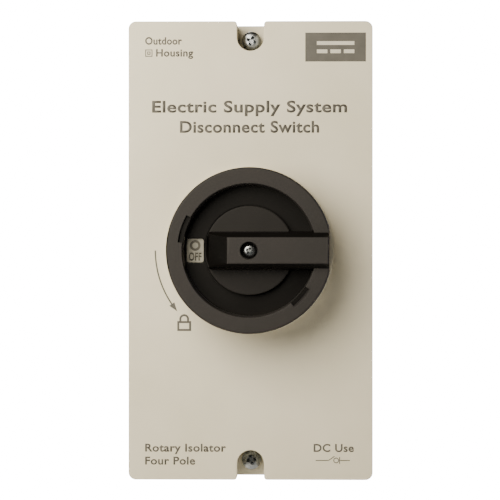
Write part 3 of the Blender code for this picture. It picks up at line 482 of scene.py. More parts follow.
@dataclass(frozen=True)
class PrintedInk:
    """Pad-printed ink, a film a few hundredths of a millimetre thick, slightly uneven in cover."""

    name: str
    shade: str
    tint: str
    roughness: float
    patch: float

    def material(self) -> bpy.types.Material:
        """Build the material: a matt tone that drifts from patch to patch."""
        made, tree, shader = start_material(self.name)
        place = add_node(tree, "TexCoord", {}, {}).outputs["Object"]
        ramp = add_ramp(tree, self.shade, self.tint, (0.3, 0.7), add_noise(tree, self.patch, 4.0, place))
        tree.links.new(ramp.outputs["Color"], shader.inputs["Base Color"])
        shader.inputs["Roughness"].default_value = self.roughness
        return made


class Finish(Enum):
    """Every finish on the object. Grains finer than about 0.4 mm are drawn coarser, so that they show."""

    # Light grey polycarbonate blend: a warm grey, satin, with a fine pebbled tool texture.
    HOUSING = Moulding("moulded_grey_polycarbonate", "#cbc5af", "#d1cbb7", 0.46, 0.55 * MM, 0.010 * MM, 40 * MM)
    # Black glass-filled nylon: warm black, satin, with glass fibre that roughens its gloss.
    HANDLE = Moulding("moulded_black_nylon", "#100d0c", "#14100f", 0.7, 0.5 * MM, 0.012 * MM, 14 * MM, 0.06,
                      0.42)
    # The same nylon in the handle's recess, drawn darker, smoother and with weak specular so it looks blacker
    # head-on: painted shade for the recess floor, the notch ledges and the bar's sides.
    RECESS = Moulding("black_nylon_painted_recess_shade", "#0b0a09", "#0e0d0c", 0.4, 0.6 * MM, 0.004 * MM, 14 * MM, 0.04,
                      0.09)
    # The same nylon on the raised disc, between the two in darkness and gloss: painted shade for the disc lying
    # deeper than the ring.
    DISC = Moulding("black_nylon_painted_disc_shade", "#0d0b0a", "#100e0d", 0.55, 0.5 * MM, 0.006 * MM, 14 * MM, 0.05,
                    0.2)
    # The same nylon on the legend plate, behind the handle.
    PLATE = Moulding("moulded_black_plate", "#141312", "#191716", 0.5, 0.5 * MM, 0.010 * MM, 14 * MM)
    # Dark grey thermoset of the switch decks: matt, faintly speckled with filler.
    DECK = Moulding("moulded_dark_thermoset", "#33363a", "#3e4145", 0.55, 0.6 * MM, 0.02 * MM, 6 * MM)
    # Red-brown nylon of the rotors and the star wheel.
    ROTOR = Moulding("moulded_red_nylon", "#8e2f1f", "#9c3826", 0.45, 0.6 * MM, 0.015 * MM, 8 * MM)
    # Closed-cell rubber: dead matt, with visible pores.
    SEAL = Moulding("cellular_rubber", "#1f1f20", "#2a2a2b", 0.9, 0.5 * MM, 0.06 * MM, 4 * MM, 0.04, 0.3)
    # Zinc plate with clear passivation on steel: bright, faintly blue and clouded.
    ZINC = PlatedMetal("zinc_plated_steel", "#868b8f", "#a0a4a6", 0.27, 3.0 * MM, 0.4 * MM, 0.004 * MM)
    # Hot-dip zinc on the rail and its latch: greyer, with drawing marks along the strip.
    RAIL = PlatedMetal("galvanised_rail_steel", "#a9adaf", "#c2c5c6", 0.36, 6.0 * MM, 0.4 * MM, 0.006 * MM,
                       (0.05, 1.0, 1.0))
    # Hard-drawn spring wire.
    SPRING = PlatedMetal("spring_wire", "#8d8f92", "#a3a5a8", 0.3, 2.0 * MM, 0.3 * MM, 0.004 * MM)
    # Half-hard copper strip, lightly tarnished.
    COPPER = PlatedMetal("copper_strip", "#b5663f", "#c9794d", 0.28, 5.0 * MM, 0.4 * MM, 0.005 * MM,
                         (1.0, 1.0, 0.08))
    # Extruded brass bar, lightly tarnished.
    BRASS = PlatedMetal("brass_bar", "#b08d4a", "#c8a55c", 0.3, 6.0 * MM, 0.4 * MM, 0.005 * MM, (0.06, 1.0, 1.0))
    # Silver-grey screen-printed polyester film of the legend labels.
    LABEL = PrintedInk("silver_polyester_label", "#8f8d80", "#9a988b", 0.42, 3.0 * MM)
    # Mid grey pad-printing ink on the lid.
    INK = PrintedInk("grey_pad_ink", "#46453f", "#504e48", 0.6, 5.0 * MM)
    # Light ink inside the dark badge, close to the lid's own tone.
    PALE_INK = PrintedInk("pale_pad_ink", "#bdb9aa", "#c6c2b3", 0.6, 5.0 * MM)
    # Dark grey ink on the silver labels.
    DARK_INK = PrintedInk("dark_pad_ink", "#4b4941", "#55534a", 0.6, 2.0 * MM)


class Palette:
    """Builds each finish's material once."""

    def __init__(self) -> None:
        """Start with no material made."""
        self.made: dict[Finish, bpy.types.Material] = {}

    def get(self, finish: Finish) -> bpy.types.Material:
        """Return a finish's material."""
        if finish not in self.made:
            self.made[finish] = finish.value.material()
        return self.made[finish]

    def dress(self, piece: Piece, finish: Finish) -> None:
        """Give all of a piece one finish."""
        piece.data.materials.clear()
        piece.data.materials.append(self.get(finish))
        for face in piece.data.polygons:
            face.material_index = 0

    def dress_part(self, piece: Piece, finish: Finish, test: Test) -> None:
        """Give a second finish to the faces whose middle and normal pass a test."""
        piece.data.materials.append(self.get(finish))
        for face in piece.data.polygons:
            if test(face.center, face.normal):
                face.material_index = len(piece.data.materials) - 1


# ---------------------------------------------------------------------------------------------------------
# Sub-assemblies
# ---------------------------------------------------------------------------------------------------------

@dataclass
class SubAssembly:
    """Pieces that are made and dressed together."""

    palette: Palette

    def hand_over(self, piece: Piece, finish: Finish, body: str, slot: str,
                  replaces: Sequence[str] = ()) -> None:
        """Dress a finished piece and tie it to the frame.

        Args:
            piece: The finished piece.
            finish: What it is made of.
            body: The moving body that it rides on.
            slot: The record's material slot; not used.
            replaces: The CAD nodes that it stands for.
        """
        self.palette.dress(piece, finish)
        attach(piece, body)
        if replaces:
            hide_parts(*replaces)
        LOG.info("%s: %d faces on %s", piece.name, len(piece.data.polygons), body)


@dataclass
class Enclosure(SubAssembly):
    """The moulded box: base and lid."""

    corner: float = 3.0 * MM
    lid_wall: float = 2.6 * MM
    base_wall: float = 3.6 * MM
    back_wall: float = 3.0 * MM
    lid_edge: float = 1.5 * MM
    rim_edge: float = 0.25 * MM
    screw_z: float = 85.5 * MM
    notch_radius: float = 5.4 * MM
    notch_floor: float = 60.0 * MM
    notch_wall: float = 2.2 * MM
    mouth_radius: float = 1.3 * MM
    screw_hole: float = 2.2 * MM
    lid_face: float = LID_FACE
    collar_radius: float = 33.3 * MM
    collar_inner: float = 24.0 * MM
    collar_top: float = 83.0 * MM
    hub_radius: float = 9.5 * MM
    bore_radius: float = 6.5 * MM
    boss_radius: float = 4.9 * MM
    groove_inset: float = 0.8 * MM
    groove_width: float = 2.0 * MM
    groove_depth: float = 2.5 * MM
    knockout_radius: float = 12.5 * MM
    knockout_spot: Point = (24.0 * MM, 25.0 * MM)
    fixing_spot: Point = (34.0 * MM, 62.0 * MM)
    fixing_hole: float = 2.6 * MM
    fixing_pad: float = 6.0 * MM
    pad_top: float = 6.0 * MM
    post_radius: float = 4.5 * MM
    pilot_radius: float = 1.8 * MM
    pilot_foot: float = 1.2 * MM
    boss_hole_foot: float = 34.0 * MM
    collar_edge: float = 0.5 * MM
    back_edge: float = 0.5 * MM
    knockout_groove: float = 0.8 * MM
    knockout_lip: float = 0.15 * MM
    post_spots: tuple[tuple[float, float, float], ...] = (
        (-30.0 * MM, 0.0, 5.7 * MM), (30.0 * MM, 0.0, 5.7 * MM), (0.0, -42.0 * MM, 5.0 * MM))
    over: float = 1.0 * MM

    def rounded_block(self, name: str, inset: float, out: Point, corner: float, segments: int) -> Piece:
        """Make an upright block with round corners, inset from the box's outline.

        Args:
            name: The new piece's name.
            inset: How far its sides lie inside the box's outline.
            out: Its nearest and furthest distance from the wall.
            corner: The radius of its corners.
            segments: The faces across each corner.

        Returns:
            The box.
        """
        low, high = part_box("enclosure_base")
        made = block(name, (low.x + inset, high.x - inset), out, (low.z + inset, high.z - inset))
        return round_edges(made, corner, segments, lambda a, b: abs(a.y - b.y) > self.over)

    def notch(self, side: int, radius: float, out: Point, end: float) -> Piece:
        """Make a block with one round end about a lid screw.

        Args:
            side: 1 at the top of the box and -1 at the bottom.
            radius: The radius of the round end.
            out: Its nearest and furthest distance from the wall.
            end: How far from the middle its straight end lies.

        Returns:
            The block.
        """
        inner = self.screw_z - radius
        made = block("notch", (-radius, radius), out, tuple(sorted((side * inner, side * end))))
        return round_edges(made, radius * 0.999, 18,
                           lambda a, b: abs(a.y - b.y) > self.over and abs(a.z - side * inner) < 0.1 * MM)

    def mouth(self, side: int, out: Point) -> Piece:
        """Make the cutter that rounds the two corners of a notch's mouth."""
        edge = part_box("lid")[1].z
        wide = self.notch_radius + self.mouth_radius
        right = arc_points((wide, edge - self.mouth_radius), self.mouth_radius, 180, 90, 6)
        left = [(-x, z) for x, z in reversed(right)]
        outline = [(-wide, edge + self.over)] + left + right + [(wide, edge + self.over)]
        return prism("mouth", [(x, -out[0], side * z) for x, z in outline], (0, out[0] - out[1], 0))

    def make_lid(self) -> None:
        """Model the lid: shell, lipped screw notches, collar, hub and holes."""
        low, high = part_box("lid")
        rim = -high.y
        lid = self.rounded_block("lid_shell", 0.0, (rim, self.lid_face), self.corner, 8)
        for side in (-1, 1):
            span = (self.notch_floor, self.lid_face + self.over)
            shape(lid, Cut.REMOVE, self.notch(side, self.notch_radius, span, high.z + self.over),
                  self.mouth(side, span))
        tidy_faces(lid)
        face = -self.lid_face
        round_edges(lid, self.lid_edge, 6, lambda a, b: abs(a.y - face) < FLAT and abs(b.y - face) < FLAT)

        hollow = self.rounded_block("hollow", self.lid_wall, (rim - self.over, self.lid_face - self.lid_wall),
                                    self.corner / 2, 4)
        for side in (-1, 1):
            boss = self.notch(side, self.notch_radius + self.notch_wall, (rim - 2 * self.over, self.lid_face),
                              high.z)
            shape(hollow, Cut.REMOVE, boss)
        shape(lid, Cut.REMOVE, hollow)

        edge = self.collar_edge
        collar = [(self.collar_inner, self.lid_face - self.over), (self.collar_radius, self.lid_face - self.over)]
        collar += arc_points((self.collar_radius - edge, self.collar_top - edge), edge, 0, 90, 4)
        collar.append((self.collar_inner, self.collar_top))
        hub_top = -low.y
        hub = rod("hub", (0, -self.lid_face + self.over, 0), (0, -hub_top, 0), self.hub_radius, 48)
        shape(lid, Cut.JOIN, turned("collar", collar, 128), hub)
        bore = rod("bore", (0, -rim, 0), (0, -(hub_top + self.over), 0), self.bore_radius, 48)
        holes = [rod("hole", (0, -(rim - self.over), side * self.screw_z),
                     (0, -(self.notch_floor + self.over), side * self.screw_z), self.screw_hole, 24)
                 for side in (-1, 1)]
        shape(lid, Cut.REMOVE, bore, *holes)
        self.hand_over(finish_shading(lid), Finish.HOUSING, "lid", "grey_moulding", ["lid"])

    def make_base(self) -> None:
        """Model the base: shell, bosses, pads, posts, rim groove, knock-outs and holes."""
        low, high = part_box("enclosure_base")
        rim = -low.y
        base = self.rounded_block("base_shell", 0.0, (0.0, rim), self.corner, 8)
        round_edges(base, self.back_edge, 3, lambda a, b: abs(a.y) < FLAT and abs(b.y) < FLAT)
        shape(base, Cut.REMOVE, self.rounded_block("cavity", self.base_wall, (self.back_wall, rim + self.over),
                                                   self.corner / 2, 4))
        root = self.back_wall / 2
        for side in (-1, 1):
            shape(base, Cut.JOIN, self.notch(side, self.boss_radius, (root, rim), high.z - self.base_wall / 2))
        spots = [(x * self.fixing_spot[0], z * self.fixing_spot[1]) for x in (-1, 1) for z in (-1, 1)]
        pads = [rod("pad", (x, -root, z), (x, -self.pad_top, z), self.fixing_pad, 32) for x, z in spots]
        posts = [rod("post", (x, -root, z), (x, -top, z), self.post_radius, 28) for x, z, top in self.post_spots]
        shape(base, Cut.JOIN, *pads, *posts)
        groove = self.rounded_block("groove", self.groove_inset, (rim - self.groove_depth, rim + self.over),
                                    self.corner - self.groove_inset / 2, 6)
        inner = self.groove_inset + self.groove_width
        core = self.rounded_block("core", inner, (rim - self.groove_depth - self.over, rim + 2 * self.over),
                                  self.corner - inner / 2, 6)
        shape(base, Cut.REMOVE, shape(groove, Cut.REMOVE, core))
        for x, z in spots:
            shape(base, Cut.REMOVE, rod("hole", (x, self.over, z), (x, -(self.pad_top + self.over), z),
                                        self.fixing_hole, 24))
        for x, z, top in self.post_spots:
            shape(base, Cut.REMOVE, rod("pilot", (x, -self.pilot_foot, z), (x, -(top + self.over), z),
                                        self.pilot_radius, 20))
        for side in (-1, 1):
            shape(base, Cut.REMOVE, rod("hole", (0, -self.boss_hole_foot, side * self.screw_z),
                                        (0, -(rim + self.over), side * self.screw_z), self.screw_hole, 24))
            for hand in (-1, 1):
                shape(base, Cut.REMOVE, self.knockout(hand, side, high.z))
        self.hand_over(finish_shading(base), Finish.HOUSING, "root", "grey_moulding", ["enclosure_base"])

    def knockout(self, hand: int, side: int, edge: float) -> Piece:
        """Make the ring cutter that marks out one cable knock-out."""
        radius, lip = self.knockout_radius, self.knockout_lip
        width = depth = self.knockout_groove
        profile = [(radius, -depth), (radius - lip, depth), (radius + width + lip, depth),
                   (radius + width, -depth)]
        ring = turned("knockout", profile, 64)
        lay = Matrix.Rotation(math.radians(-90 * side), 4, "X")
        put = Matrix.Translation((hand * self.knockout_spot[0], -self.knockout_spot[1], side * edge))
        ring.matrix_world = put @ lay
        return settle(ring, "knockout")


@dataclass
class Handle(SubAssembly):
    """The round black handle, with the socket for the coupler and the hole for its screw, and the legend behind
    its window.
    """

    radius: float = 32.55 * MM
    back: float = 83.5 * MM
    ring_face: float = 105.0 * MM
    ring_inner: float = 26.1 * MM
    ring_draft: float = 0.4 * MM
    ring_edge: float = 0.8 * MM
    inner_edge: float = 0.4 * MM
    skirt_inner: float = 29.3 * MM
    floor_top: float = 94.3 * MM
    floor_back: float = 93.0 * MM
    disc_radius: float = 17.5 * MM
    disc_top: float = 97.5 * MM
    disc_edge: float = 0.35 * MM
    groove: float = 0.6 * MM
    hub_radius: float = 9.3 * MM
    hub_back: float = 85.0 * MM
    bar_end: float = 30.9 * MM
    flat: float = 31.2 * MM
    flat_half: float = 11.0 * MM
    bar_foot: float = 7.7 * MM
    bar_ring: float = 7.0 * MM
    bar_half: float = 4.9 * MM
    bar_edge: float = 0.45 * MM
    ramp_top: float = -7.9 * MM
    ramp_foot: float = -16.6 * MM
    window: tuple[Point, Point] = ((-25.1 * MM, -18.2 * MM), (-4.95 * MM, 4.95 * MM))
    notch_outer: float = 27.6 * MM
    notch_depth: float = 1.8 * MM
    notch_taper: float = 0.5 * MM
    notches: tuple[Point, ...] = ((150.4, 173.5), (308.5, 327.5))
    counterbore: float = 3.35 * MM
    counterbore_floor: float = 103.0 * MM
    counterbore_lip: float = 0.25 * MM
    screw_hole: float = 1.8 * MM
    socket_half: float = 4.6 * MM
    socket_end: float = 99.0 * MM
    window_corner: float = 0.7 * MM
    plate_inner: float = 12.0 * MM
    plate_rim: float = 26.5 * MM
    plate_back: float = 90.2 * MM
    plate_edge: float = 0.3 * MM
    label_corner: float = 0.8 * MM
    label_capital: float = 3.2 * MM
    over: float = 1.0 * MM
    steps: int = 160

    def body_profile(self) -> list[Point]:
        """Half-section (radius, out) of the turned part, from the axis out to the skirt and back."""
        edge, inner = self.ring_edge, self.inner_edge
        groove_floor = self.floor_back + self.groove
        points = [(0.0, self.hub_back), (self.hub_radius, self.hub_back), (self.hub_radius, self.floor_back),
                  (self.skirt_inner, self.floor_back), (self.skirt_inner, self.back), (self.radius, self.back)]
        points += arc_points((self.radius - edge, self.ring_face - edge), edge, 0, 90, 5)
        points += arc_points((self.ring_inner + inner, self.ring_face - inner), inner, 90, 180, 4)
        points += [(self.ring_inner - self.ring_draft, self.floor_top),
                   (self.disc_radius + self.groove, self.floor_top),
                   (self.disc_radius + self.groove, groove_floor), (self.disc_radius, groove_floor)]
        points += arc_points((self.disc_radius - self.disc_edge, self.disc_top - self.disc_edge), self.disc_edge,
                             0, 90, 4)
        points.append((0.0, self.disc_top))
        return points

    def bar_block(self) -> Piece:
        """Make the bar: tapered section, rounded top edges, a ramp at its pointer end."""
        top = -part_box("knob")[0].y
        foot_out = self.floor_top - 0.3 * MM
        start = -self.disc_radius - self.over
        section = [(-self.bar_foot, foot_out), (self.bar_foot, foot_out), (self.bar_ring, self.ring_face),
                   (self.bar_half + 0.15 * MM, top), (-self.bar_half - 0.15 * MM, top),
                   (-self.bar_ring, self.ring_face)]
        bar = prism("bar", [(start, -out, z) for z, out in section], (self.bar_end - start, 0, 0))
        run = Vector((self.ramp_top - self.ramp_foot, -(top - self.disc_top), 0))
        with editing(bar, everything=True):
            bpy.ops.mesh.bisect(plane_co=(self.ramp_top, -top, 0), plane_no=(-run.y, run.x, 0), use_fill=True,
                                clear_inner=True, clear_outer=False)
        round_edges(bar, self.bar_edge, 4, lambda a, b: min(-a.y, -b.y) > top - 0.01 * MM)
        wide = self.bar_foot + self.over
        plan = [(self.bar_end + self.over, -wide), (self.bar_end + self.over, wide)]
        plan += arc_points((0.0, 0.0), self.disc_radius - 0.3 * MM, 120, 240, 24)
        trim = prism("plan", [(x, -(foot_out - self.over), z) for x, z in plan],
                     (0, foot_out - top - 2 * self.over, 0))
        return shape(bar, Cut.KEEP, trim)

    def ring_notch(self, start: float, end: float) -> Piece:
        """Make the cutter of a shallow notch in the ring's inner edge, between two angles in degrees."""
        inner = self.ring_inner - 2 * self.over
        floor, top = self.ring_face - self.notch_depth, self.ring_face + self.over
        slope = self.notch_taper / self.notch_depth
        corners = [(inner, floor), (self.notch_outer, floor), (self.notch_outer + slope * (top - floor), top),
                   (inner, top)]
        tool = draw_path("notch", [(radius, -out, 0) for radius, out in corners], closed=True)
        with editing(tool, everything=True):
            bpy.ops.mesh.edge_face_add()
            bpy.ops.mesh.spin(steps=12, angle=math.radians(end - start), center=(0, 0, 0), axis=(0, 1, 0))
            bpy.ops.mesh.select_all(action="SELECT")
            bpy.ops.mesh.normals_make_consistent(inside=False)
        tool.matrix_world = Matrix.Rotation(math.radians(-start), 4, "Y")
        return settle(tool, "notch")

    def make_knob(self) -> None:
        """Model the handle and cut its flat, window, sockets and notches."""
        top = -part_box("knob")[0].y
        knob = turned("handle", self.body_profile(), self.steps)
        shape(knob, Cut.JOIN, self.bar_block())
        (x_low, x_high), z_range = self.window
        window = block("window", (x_low, x_high), (self.floor_back - self.over, self.floor_top + self.over),
                       z_range)
        round_edges(window, self.window_corner, 4, lambda a, b: abs(a.y - b.y) > self.over)
        flat = block("flat", (self.flat, self.radius + self.over), (self.back - self.over, top + self.over),
                     (-self.flat_half, self.flat_half))
        square = (-self.socket_half, self.socket_half)
        socket = block("socket", square, (self.hub_back - self.over, self.socket_end), square)
        lip = self.counterbore_lip
        bore = turned("counterbore", [(0.0, self.counterbore_floor), (self.counterbore, self.counterbore_floor),
                                      (self.counterbore, top - lip),
                                      (self.counterbore + lip + self.over, top + self.over),
                                      (0.0, top + self.over)], 48)
        hole = rod("hole", (0, -(self.socket_end - self.over), 0), (0, -(self.counterbore_floor + self.over), 0),
                   self.screw_hole, 24)
        shape(knob, Cut.REMOVE, window, flat, socket, bore, hole,
              *[self.ring_notch(start, end) for start, end in self.notches])
        self.hand_over(finish_shading(knob, 28.0), Finish.HANDLE, "knob", "black_moulding", ["knob"])
        slack = 0.05 * MM
        facing = 0.93

        def on_floor(middle: Vector, _: Vector) -> bool:
            """Whether a face belongs to the recess's floor or its groove."""
            return (self.floor_back - 2 * slack < -middle.y < self.floor_top + slack
                    and middle.xz.length < self.ring_inner)

        def on_ledge(middle: Vector, _: Vector) -> bool:
            """Whether a face is the floor of a ring notch."""
            return (abs(-middle.y - (self.ring_face - self.notch_depth)) < slack
                    and self.ring_inner - self.over < middle.xz.length < self.notch_outer)

        def on_disc(middle: Vector, _: Vector) -> bool:
            """Whether a face lies on the raised disc."""
            return abs(-middle.y - self.disc_top) < slack and middle.xz.length < self.disc_radius

        def on_bar_side(middle: Vector, normal: Vector) -> bool:
            """Whether a face is a side of the bar or its ramp."""
            return (self.disc_top + slack < -middle.y < top - self.bar_edge - slack and abs(normal.y) < facing
                    and middle.xz.length > self.counterbore + slack and abs(middle.z) < self.bar_foot
                    and middle.x < self.bar_end - slack)

        # Painted shade: the recess floor, the notch ledges and the bar's sides get the dark copy of the nylon, and
        # the disc gets the half-dark copy.
        for finish, test in ((Finish.RECESS, on_floor), (Finish.RECESS, on_ledge), (Finish.DISC, on_disc),
                             (Finish.RECESS, on_bar_side)):
            self.palette.dress_part(knob, finish, test)

    def make_legend(self) -> None:
        """Model the legend plate and the OFF and ON labels with their printed marks."""
        low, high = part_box("legend_plate")
        foot, top = -high.y, -low.y
        plate = turned("legend_disc", [(self.plate_rim, foot), (high.x, foot), (high.x, top - self.plate_edge),
                                       (high.x - self.plate_edge, top), (self.plate_inner, top),
                                       (self.plate_inner, self.plate_back), (self.plate_rim, self.plate_back)], 96)
        self.hand_over(finish_shading(plate), Finish.PLATE, "lid", "dark_plate", ["legend_plate"])
        for name, word in (("off", "OFF"), ("on", "ON")):
            low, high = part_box(f"legend_{name}_label")
            label = block(f"label_{name}", (low.x, high.x), (-high.y, -low.y), (low.z, high.z))
            round_edges(label, self.label_corner, 6, lambda a, b: abs(a.y - b.y) > 0.2 * MM)
            self.hand_over(finish_shading(label), Finish.LABEL, "lid", "silver_label", [f"legend_{name}_label"])
            middle = (low + high) / 2
            face = -low.y
            if name == "off":
                mark = flat_ring("mark", (middle.x, middle.z + 2.0 * MM), 1.65 * MM, 0.95 * MM, face)
                text = flat_text("word", word, (middle.x - 2.5 * MM, middle.x + 2.5 * MM), middle.z - 4.0 * MM,
                                 self.label_capital, face)
            else:
                mark = flat_bar("mark", (middle.x - 2.9 * MM, middle.z), (0.6 * MM, 3.8 * MM), face)
                text = flat_text("word", word, (middle.x - 0.9 * MM, middle.x + 3.6 * MM), middle.z - 1.6 * MM,
                                 self.label_capital, face)
            print_piece = join_pieces(f"label_{name}_print", [mark, text])
            self.hand_over(print_piece, Finish.DARK_INK, "lid", "silver_label")


# ---------------------------------------------------------------------------------------------------------
# Flat printed marks
# ---------------------------------------------------------------------------------------------------------

INK_THICK = 0.03 * MM
LETTER_CAPITAL = 0.682
LETTER_SWELL = 0.025
LETTER_SPACING = 1.06


def stand_up(spot: Point, out: float, lean: float = 0.0) -> Matrix:
    """Placement that stands a flat mark up facing the front, about a spot (x, z)."""
    return (Matrix.Translation((spot[0], -out, spot[1])) @ Matrix.Rotation(math.radians(-lean), 4, "Y")
            @ Matrix.Rotation(math.radians(90), 4, "X"))


def flat_text(name: str, words: str, span: Point, baseline: float, capital: float, out: float) -> Piece:
    """Make printed bold words as a thin flat mesh.

    Args:
        name: The new piece's name.
        words: What it says.
        span: The X of its left and right ends.
        baseline: The Z that its letters stand on.
        capital: The height of its capitals.
        out: How far from the wall the printed face lies.

    Returns:
        The words.
    """
    clear_selection()
    bpy.ops.object.text_add()
    letters = bpy.context.object
    letters.data.body = words
    letters.data.offset = LETTER_SWELL
    letters.data.space_character = LETTER_SPACING
    letters.data.resolution_u = 4
    pick(letters)
    bpy.ops.object.convert(target="MESH")
    made = bpy.context.object
    across = [point.co.x for point in made.data.vertices]
    wide = (span[1] - span[0]) / (max(across) - min(across))
    tall = capital / (LETTER_CAPITAL + 2 * LETTER_SWELL)
    made.matrix_world = (stand_up((span[0], baseline), out) @ Matrix.Diagonal((wide, tall, 1.0, 1.0))
                         @ Matrix.Translation((-min(across), LETTER_SWELL, 0.0)))
    return thicken(settle(made, name))


def thicken(piece: Piece) -> Piece:
    """Give a flat mark the thickness of a film of ink."""
    with editing(piece, everything=True):
        bpy.ops.mesh.remove_doubles(threshold=MERGE / 2)
        bpy.ops.mesh.extrude_region_move(TRANSFORM_OT_translate={"value": (0, -INK_THICK, 0)})
        face_outward()
    return piece


def flat_bar(name: str, centre: Point, size: Point, out: float, tilt: float = 0.0) -> Piece:
    """Make a printed bar.

    Args:
        name: The new piece's name.
        centre: Its middle (x, z).
        size: Its width and height.
        out: How far from the wall the printed face lies.
        tilt: How far it leans, in degrees, anticlockwise from the front.

    Returns:
        The bar.
    """
    clear_selection()
    bpy.ops.mesh.primitive_plane_add(size=1.0)
    made = bpy.context.object
    made.matrix_world = stand_up(centre, out, tilt) @ Matrix.Diagonal((*size, 1.0, 1.0))
    settle(made, name)
    return thicken(made)


def flat_ring(name: str, centre: Point, radius: float, stroke: float, out: float, start: float = 0.0,
              sweep: float = 360.0) -> Piece:
    """Make a printed ring or arc.

    Args:
        name: The new piece's name.
        centre: The middle (x, z) of its circle.
        radius: The radius of the middle of its stroke.
        stroke: The width of its stroke.
        out: How far from the wall the printed face lies.
        start: The angle at which it starts, in degrees anticlockwise from the right.
        sweep: How far it turns, in degrees.

    Returns:
        The ring.
    """
    ends = [(radius + side * stroke / 2, 0, 0) for side in (-1, 1)]
    made = draw_path(name, ends, closed=False)
    with editing(made, everything=True):
        bpy.ops.mesh.spin(steps=max(12, int(sweep / 6)), angle=math.radians(sweep), center=(0, 0, 0),
                          axis=(0, 1, 0))
        bpy.ops.mesh.select_all(action="SELECT")
        bpy.ops.mesh.remove_doubles(threshold=MERGE / 2)
    made.matrix_world = (Matrix.Translation((centre[0], -out, centre[1]))
                         @ Matrix.Rotation(math.radians(-start), 4, "Y"))
    settle(made, name)
    return thicken(made)


def flat_shape(name: str, points: Sequence[Point], out: float) -> Piece:
    """Make a printed filled shape from its outline (x, z)."""
    made = draw_path(name, [(x, -out, z) for x, z in points], closed=True)
    with editing(made, everything=True):
        bpy.ops.mesh.edge_face_add()
    return thicken(made)


@dataclass
class LidPrint(SubAssembly):
    """Generic printed legends on the lid's face."""

    face: float = LID_FACE
    stroke: float = 0.6 * MM
    lock_radius: float = 38.2 * MM

    def texts(self) -> None:
        """Print the words."""
        small, large = 3.2 * MM, 4.75 * MM
        lines = {
            "print_title_upper": ("Electric Supply System", (-39.5 * MM, 38.7 * MM), 55.3 * MM, large),
            "print_title_lower": ("Disconnect Switch", (-28.3 * MM, 27.5 * MM), 47.2 * MM, large),
            "print_corner_upper": ("Outdoor", (-42.3 * MM, -27.5 * MM), 82.6 * MM, small * 0.94),
            "print_corner_lower": ("Housing", (-37.9 * MM, -23.0 * MM), 77.8 * MM, small * 0.94),
            "print_foot_upper": ("Rotary Isolator", (-42.3 * MM, -9.8 * MM), -80.7 * MM, small),
            "print_foot_lower": ("Four Pole", (-42.3 * MM, -22.2 * MM), -85.9 * MM, small),
            "print_foot_right": ("DC Use", (25.3 * MM, 41.4 * MM), -80.7 * MM, small),
        }
        for name, (words, span, baseline, capital) in lines.items():
            self.hand_over(flat_text(name, words, span, baseline, capital, self.face), Finish.INK, "lid",
                           "silver_label")

    def badge(self) -> None:
        """Print the dark badge with a plain direct-current sign in it."""
        centre = (34.1 * MM, 81.5 * MM)
        size = (24.3 * MM, 11.6 * MM)
        self.hand_over(flat_bar("print_badge", centre, size, self.face), Finish.INK, "lid", "silver_label")
        face = self.face + INK_THICK
        bars = [flat_bar("bar", (centre[0], centre[1] + 1.6 * MM), (15.0 * MM, 1.5 * MM), face)]
        for place in (-1, 0, 1):
            spot = (centre[0] + place * 5.4 * MM, centre[1] - 1.7 * MM)
            bars.append(flat_bar("dash", spot, (4.2 * MM, 1.5 * MM), face))
        self.hand_over(join_pieces("print_badge_sign", bars), Finish.PALE_INK, "lid", "silver_label")

    def symbols(self) -> None:
        """Print the insulation square, the disconnector sign, the turning arrow and the padlock."""
        spot, side, thin = (-40.8 * MM, 79.2 * MM), 2.9 * MM, 0.35 * MM
        square = [flat_frame("outer", spot, (side, side), thin, self.face),
                  flat_frame("inner", spot, (side * 0.45, side * 0.45), thin, self.face)]
        self.hand_over(join_pieces("print_square_sign", square), Finish.INK, "lid", "silver_label")

        level = -84.1 * MM
        sign = [flat_bar("line", (28.7 * MM, level), (5.2 * MM, thin), self.face),
                flat_bar("blade", (32.5 * MM, level + 0.85 * MM), (2.8 * MM, thin), self.face, 36.0),
                flat_ring("gate", (34.3 * MM, level), 0.95 * MM, thin, self.face),
                flat_bar("stop", (35.7 * MM, level), (thin, 2.8 * MM), self.face),
                flat_bar("line", (37.9 * MM, level), (3.9 * MM, thin), self.face)]
        self.hand_over(join_pieces("print_disconnector_sign", sign), Finish.INK, "lid", "silver_label")

        start, end, point, barb = 180.0, 214.2, 219.8, 1.25 * MM
        arc = flat_ring("arc", (0.0, 0.0), self.lock_radius, self.stroke, self.face, start, end - start)
        head = [arc_points((0.0, 0.0), self.lock_radius + shift, angle, angle, 1)[0]
                for shift, angle in ((-barb, end), (0.0, point), (barb, end))]
        tip = flat_shape("tip", head, self.face)
        self.hand_over(join_pieces("print_arrow", [arc, tip]), Finish.INK, "lid", "silver_label")

        x, z = -26.6 * MM, -29.1 * MM
        heavy = self.stroke * 1.4
        parts = [flat_frame("box", (x, z - 1.2 * MM), (5.6 * MM, 4.0 * MM), heavy, self.face),
                 flat_ring("shackle", (x, z + 1.6 * MM), 1.55 * MM, heavy, self.face, 0.0, 180.0)]
        for side in (-1, 1):
            parts.append(flat_bar("leg", (x + side * 1.55 * MM, z + 1.2 * MM), (heavy, 0.8 * MM),
                                  self.face))
        self.hand_over(join_pieces("print_padlock", parts), Finish.INK, "lid", "silver_label")


def flat_frame(name: str, centre: Point, size: Point, stroke: float, out: float) -> Piece:
    """Make a printed rectangular frame.

    Args:
        name: The new piece's name.
        centre: Its middle (x, z).
        size: Its outer width and height.
        stroke: The width of its stroke.
        out: How far from the wall the printed face lies.

    Returns:
        The frame.
    """
    clear_selection()
    bpy.ops.mesh.primitive_plane_add(size=1.0)
    made = bpy.context.object
    made.matrix_world = stand_up(centre, out) @ Matrix.Diagonal((*size, 1.0, 1.0))
    settle(made, name)
    with editing(made, everything=True):
        bpy.ops.mesh.inset(thickness=stroke, depth=0.0)
        bpy.ops.mesh.delete(type="FACE")
    return thicken(made)


# ---------------------------------------------------------------------------------------------------------
# Screws
# ---------------------------------------------------------------------------------------------------------

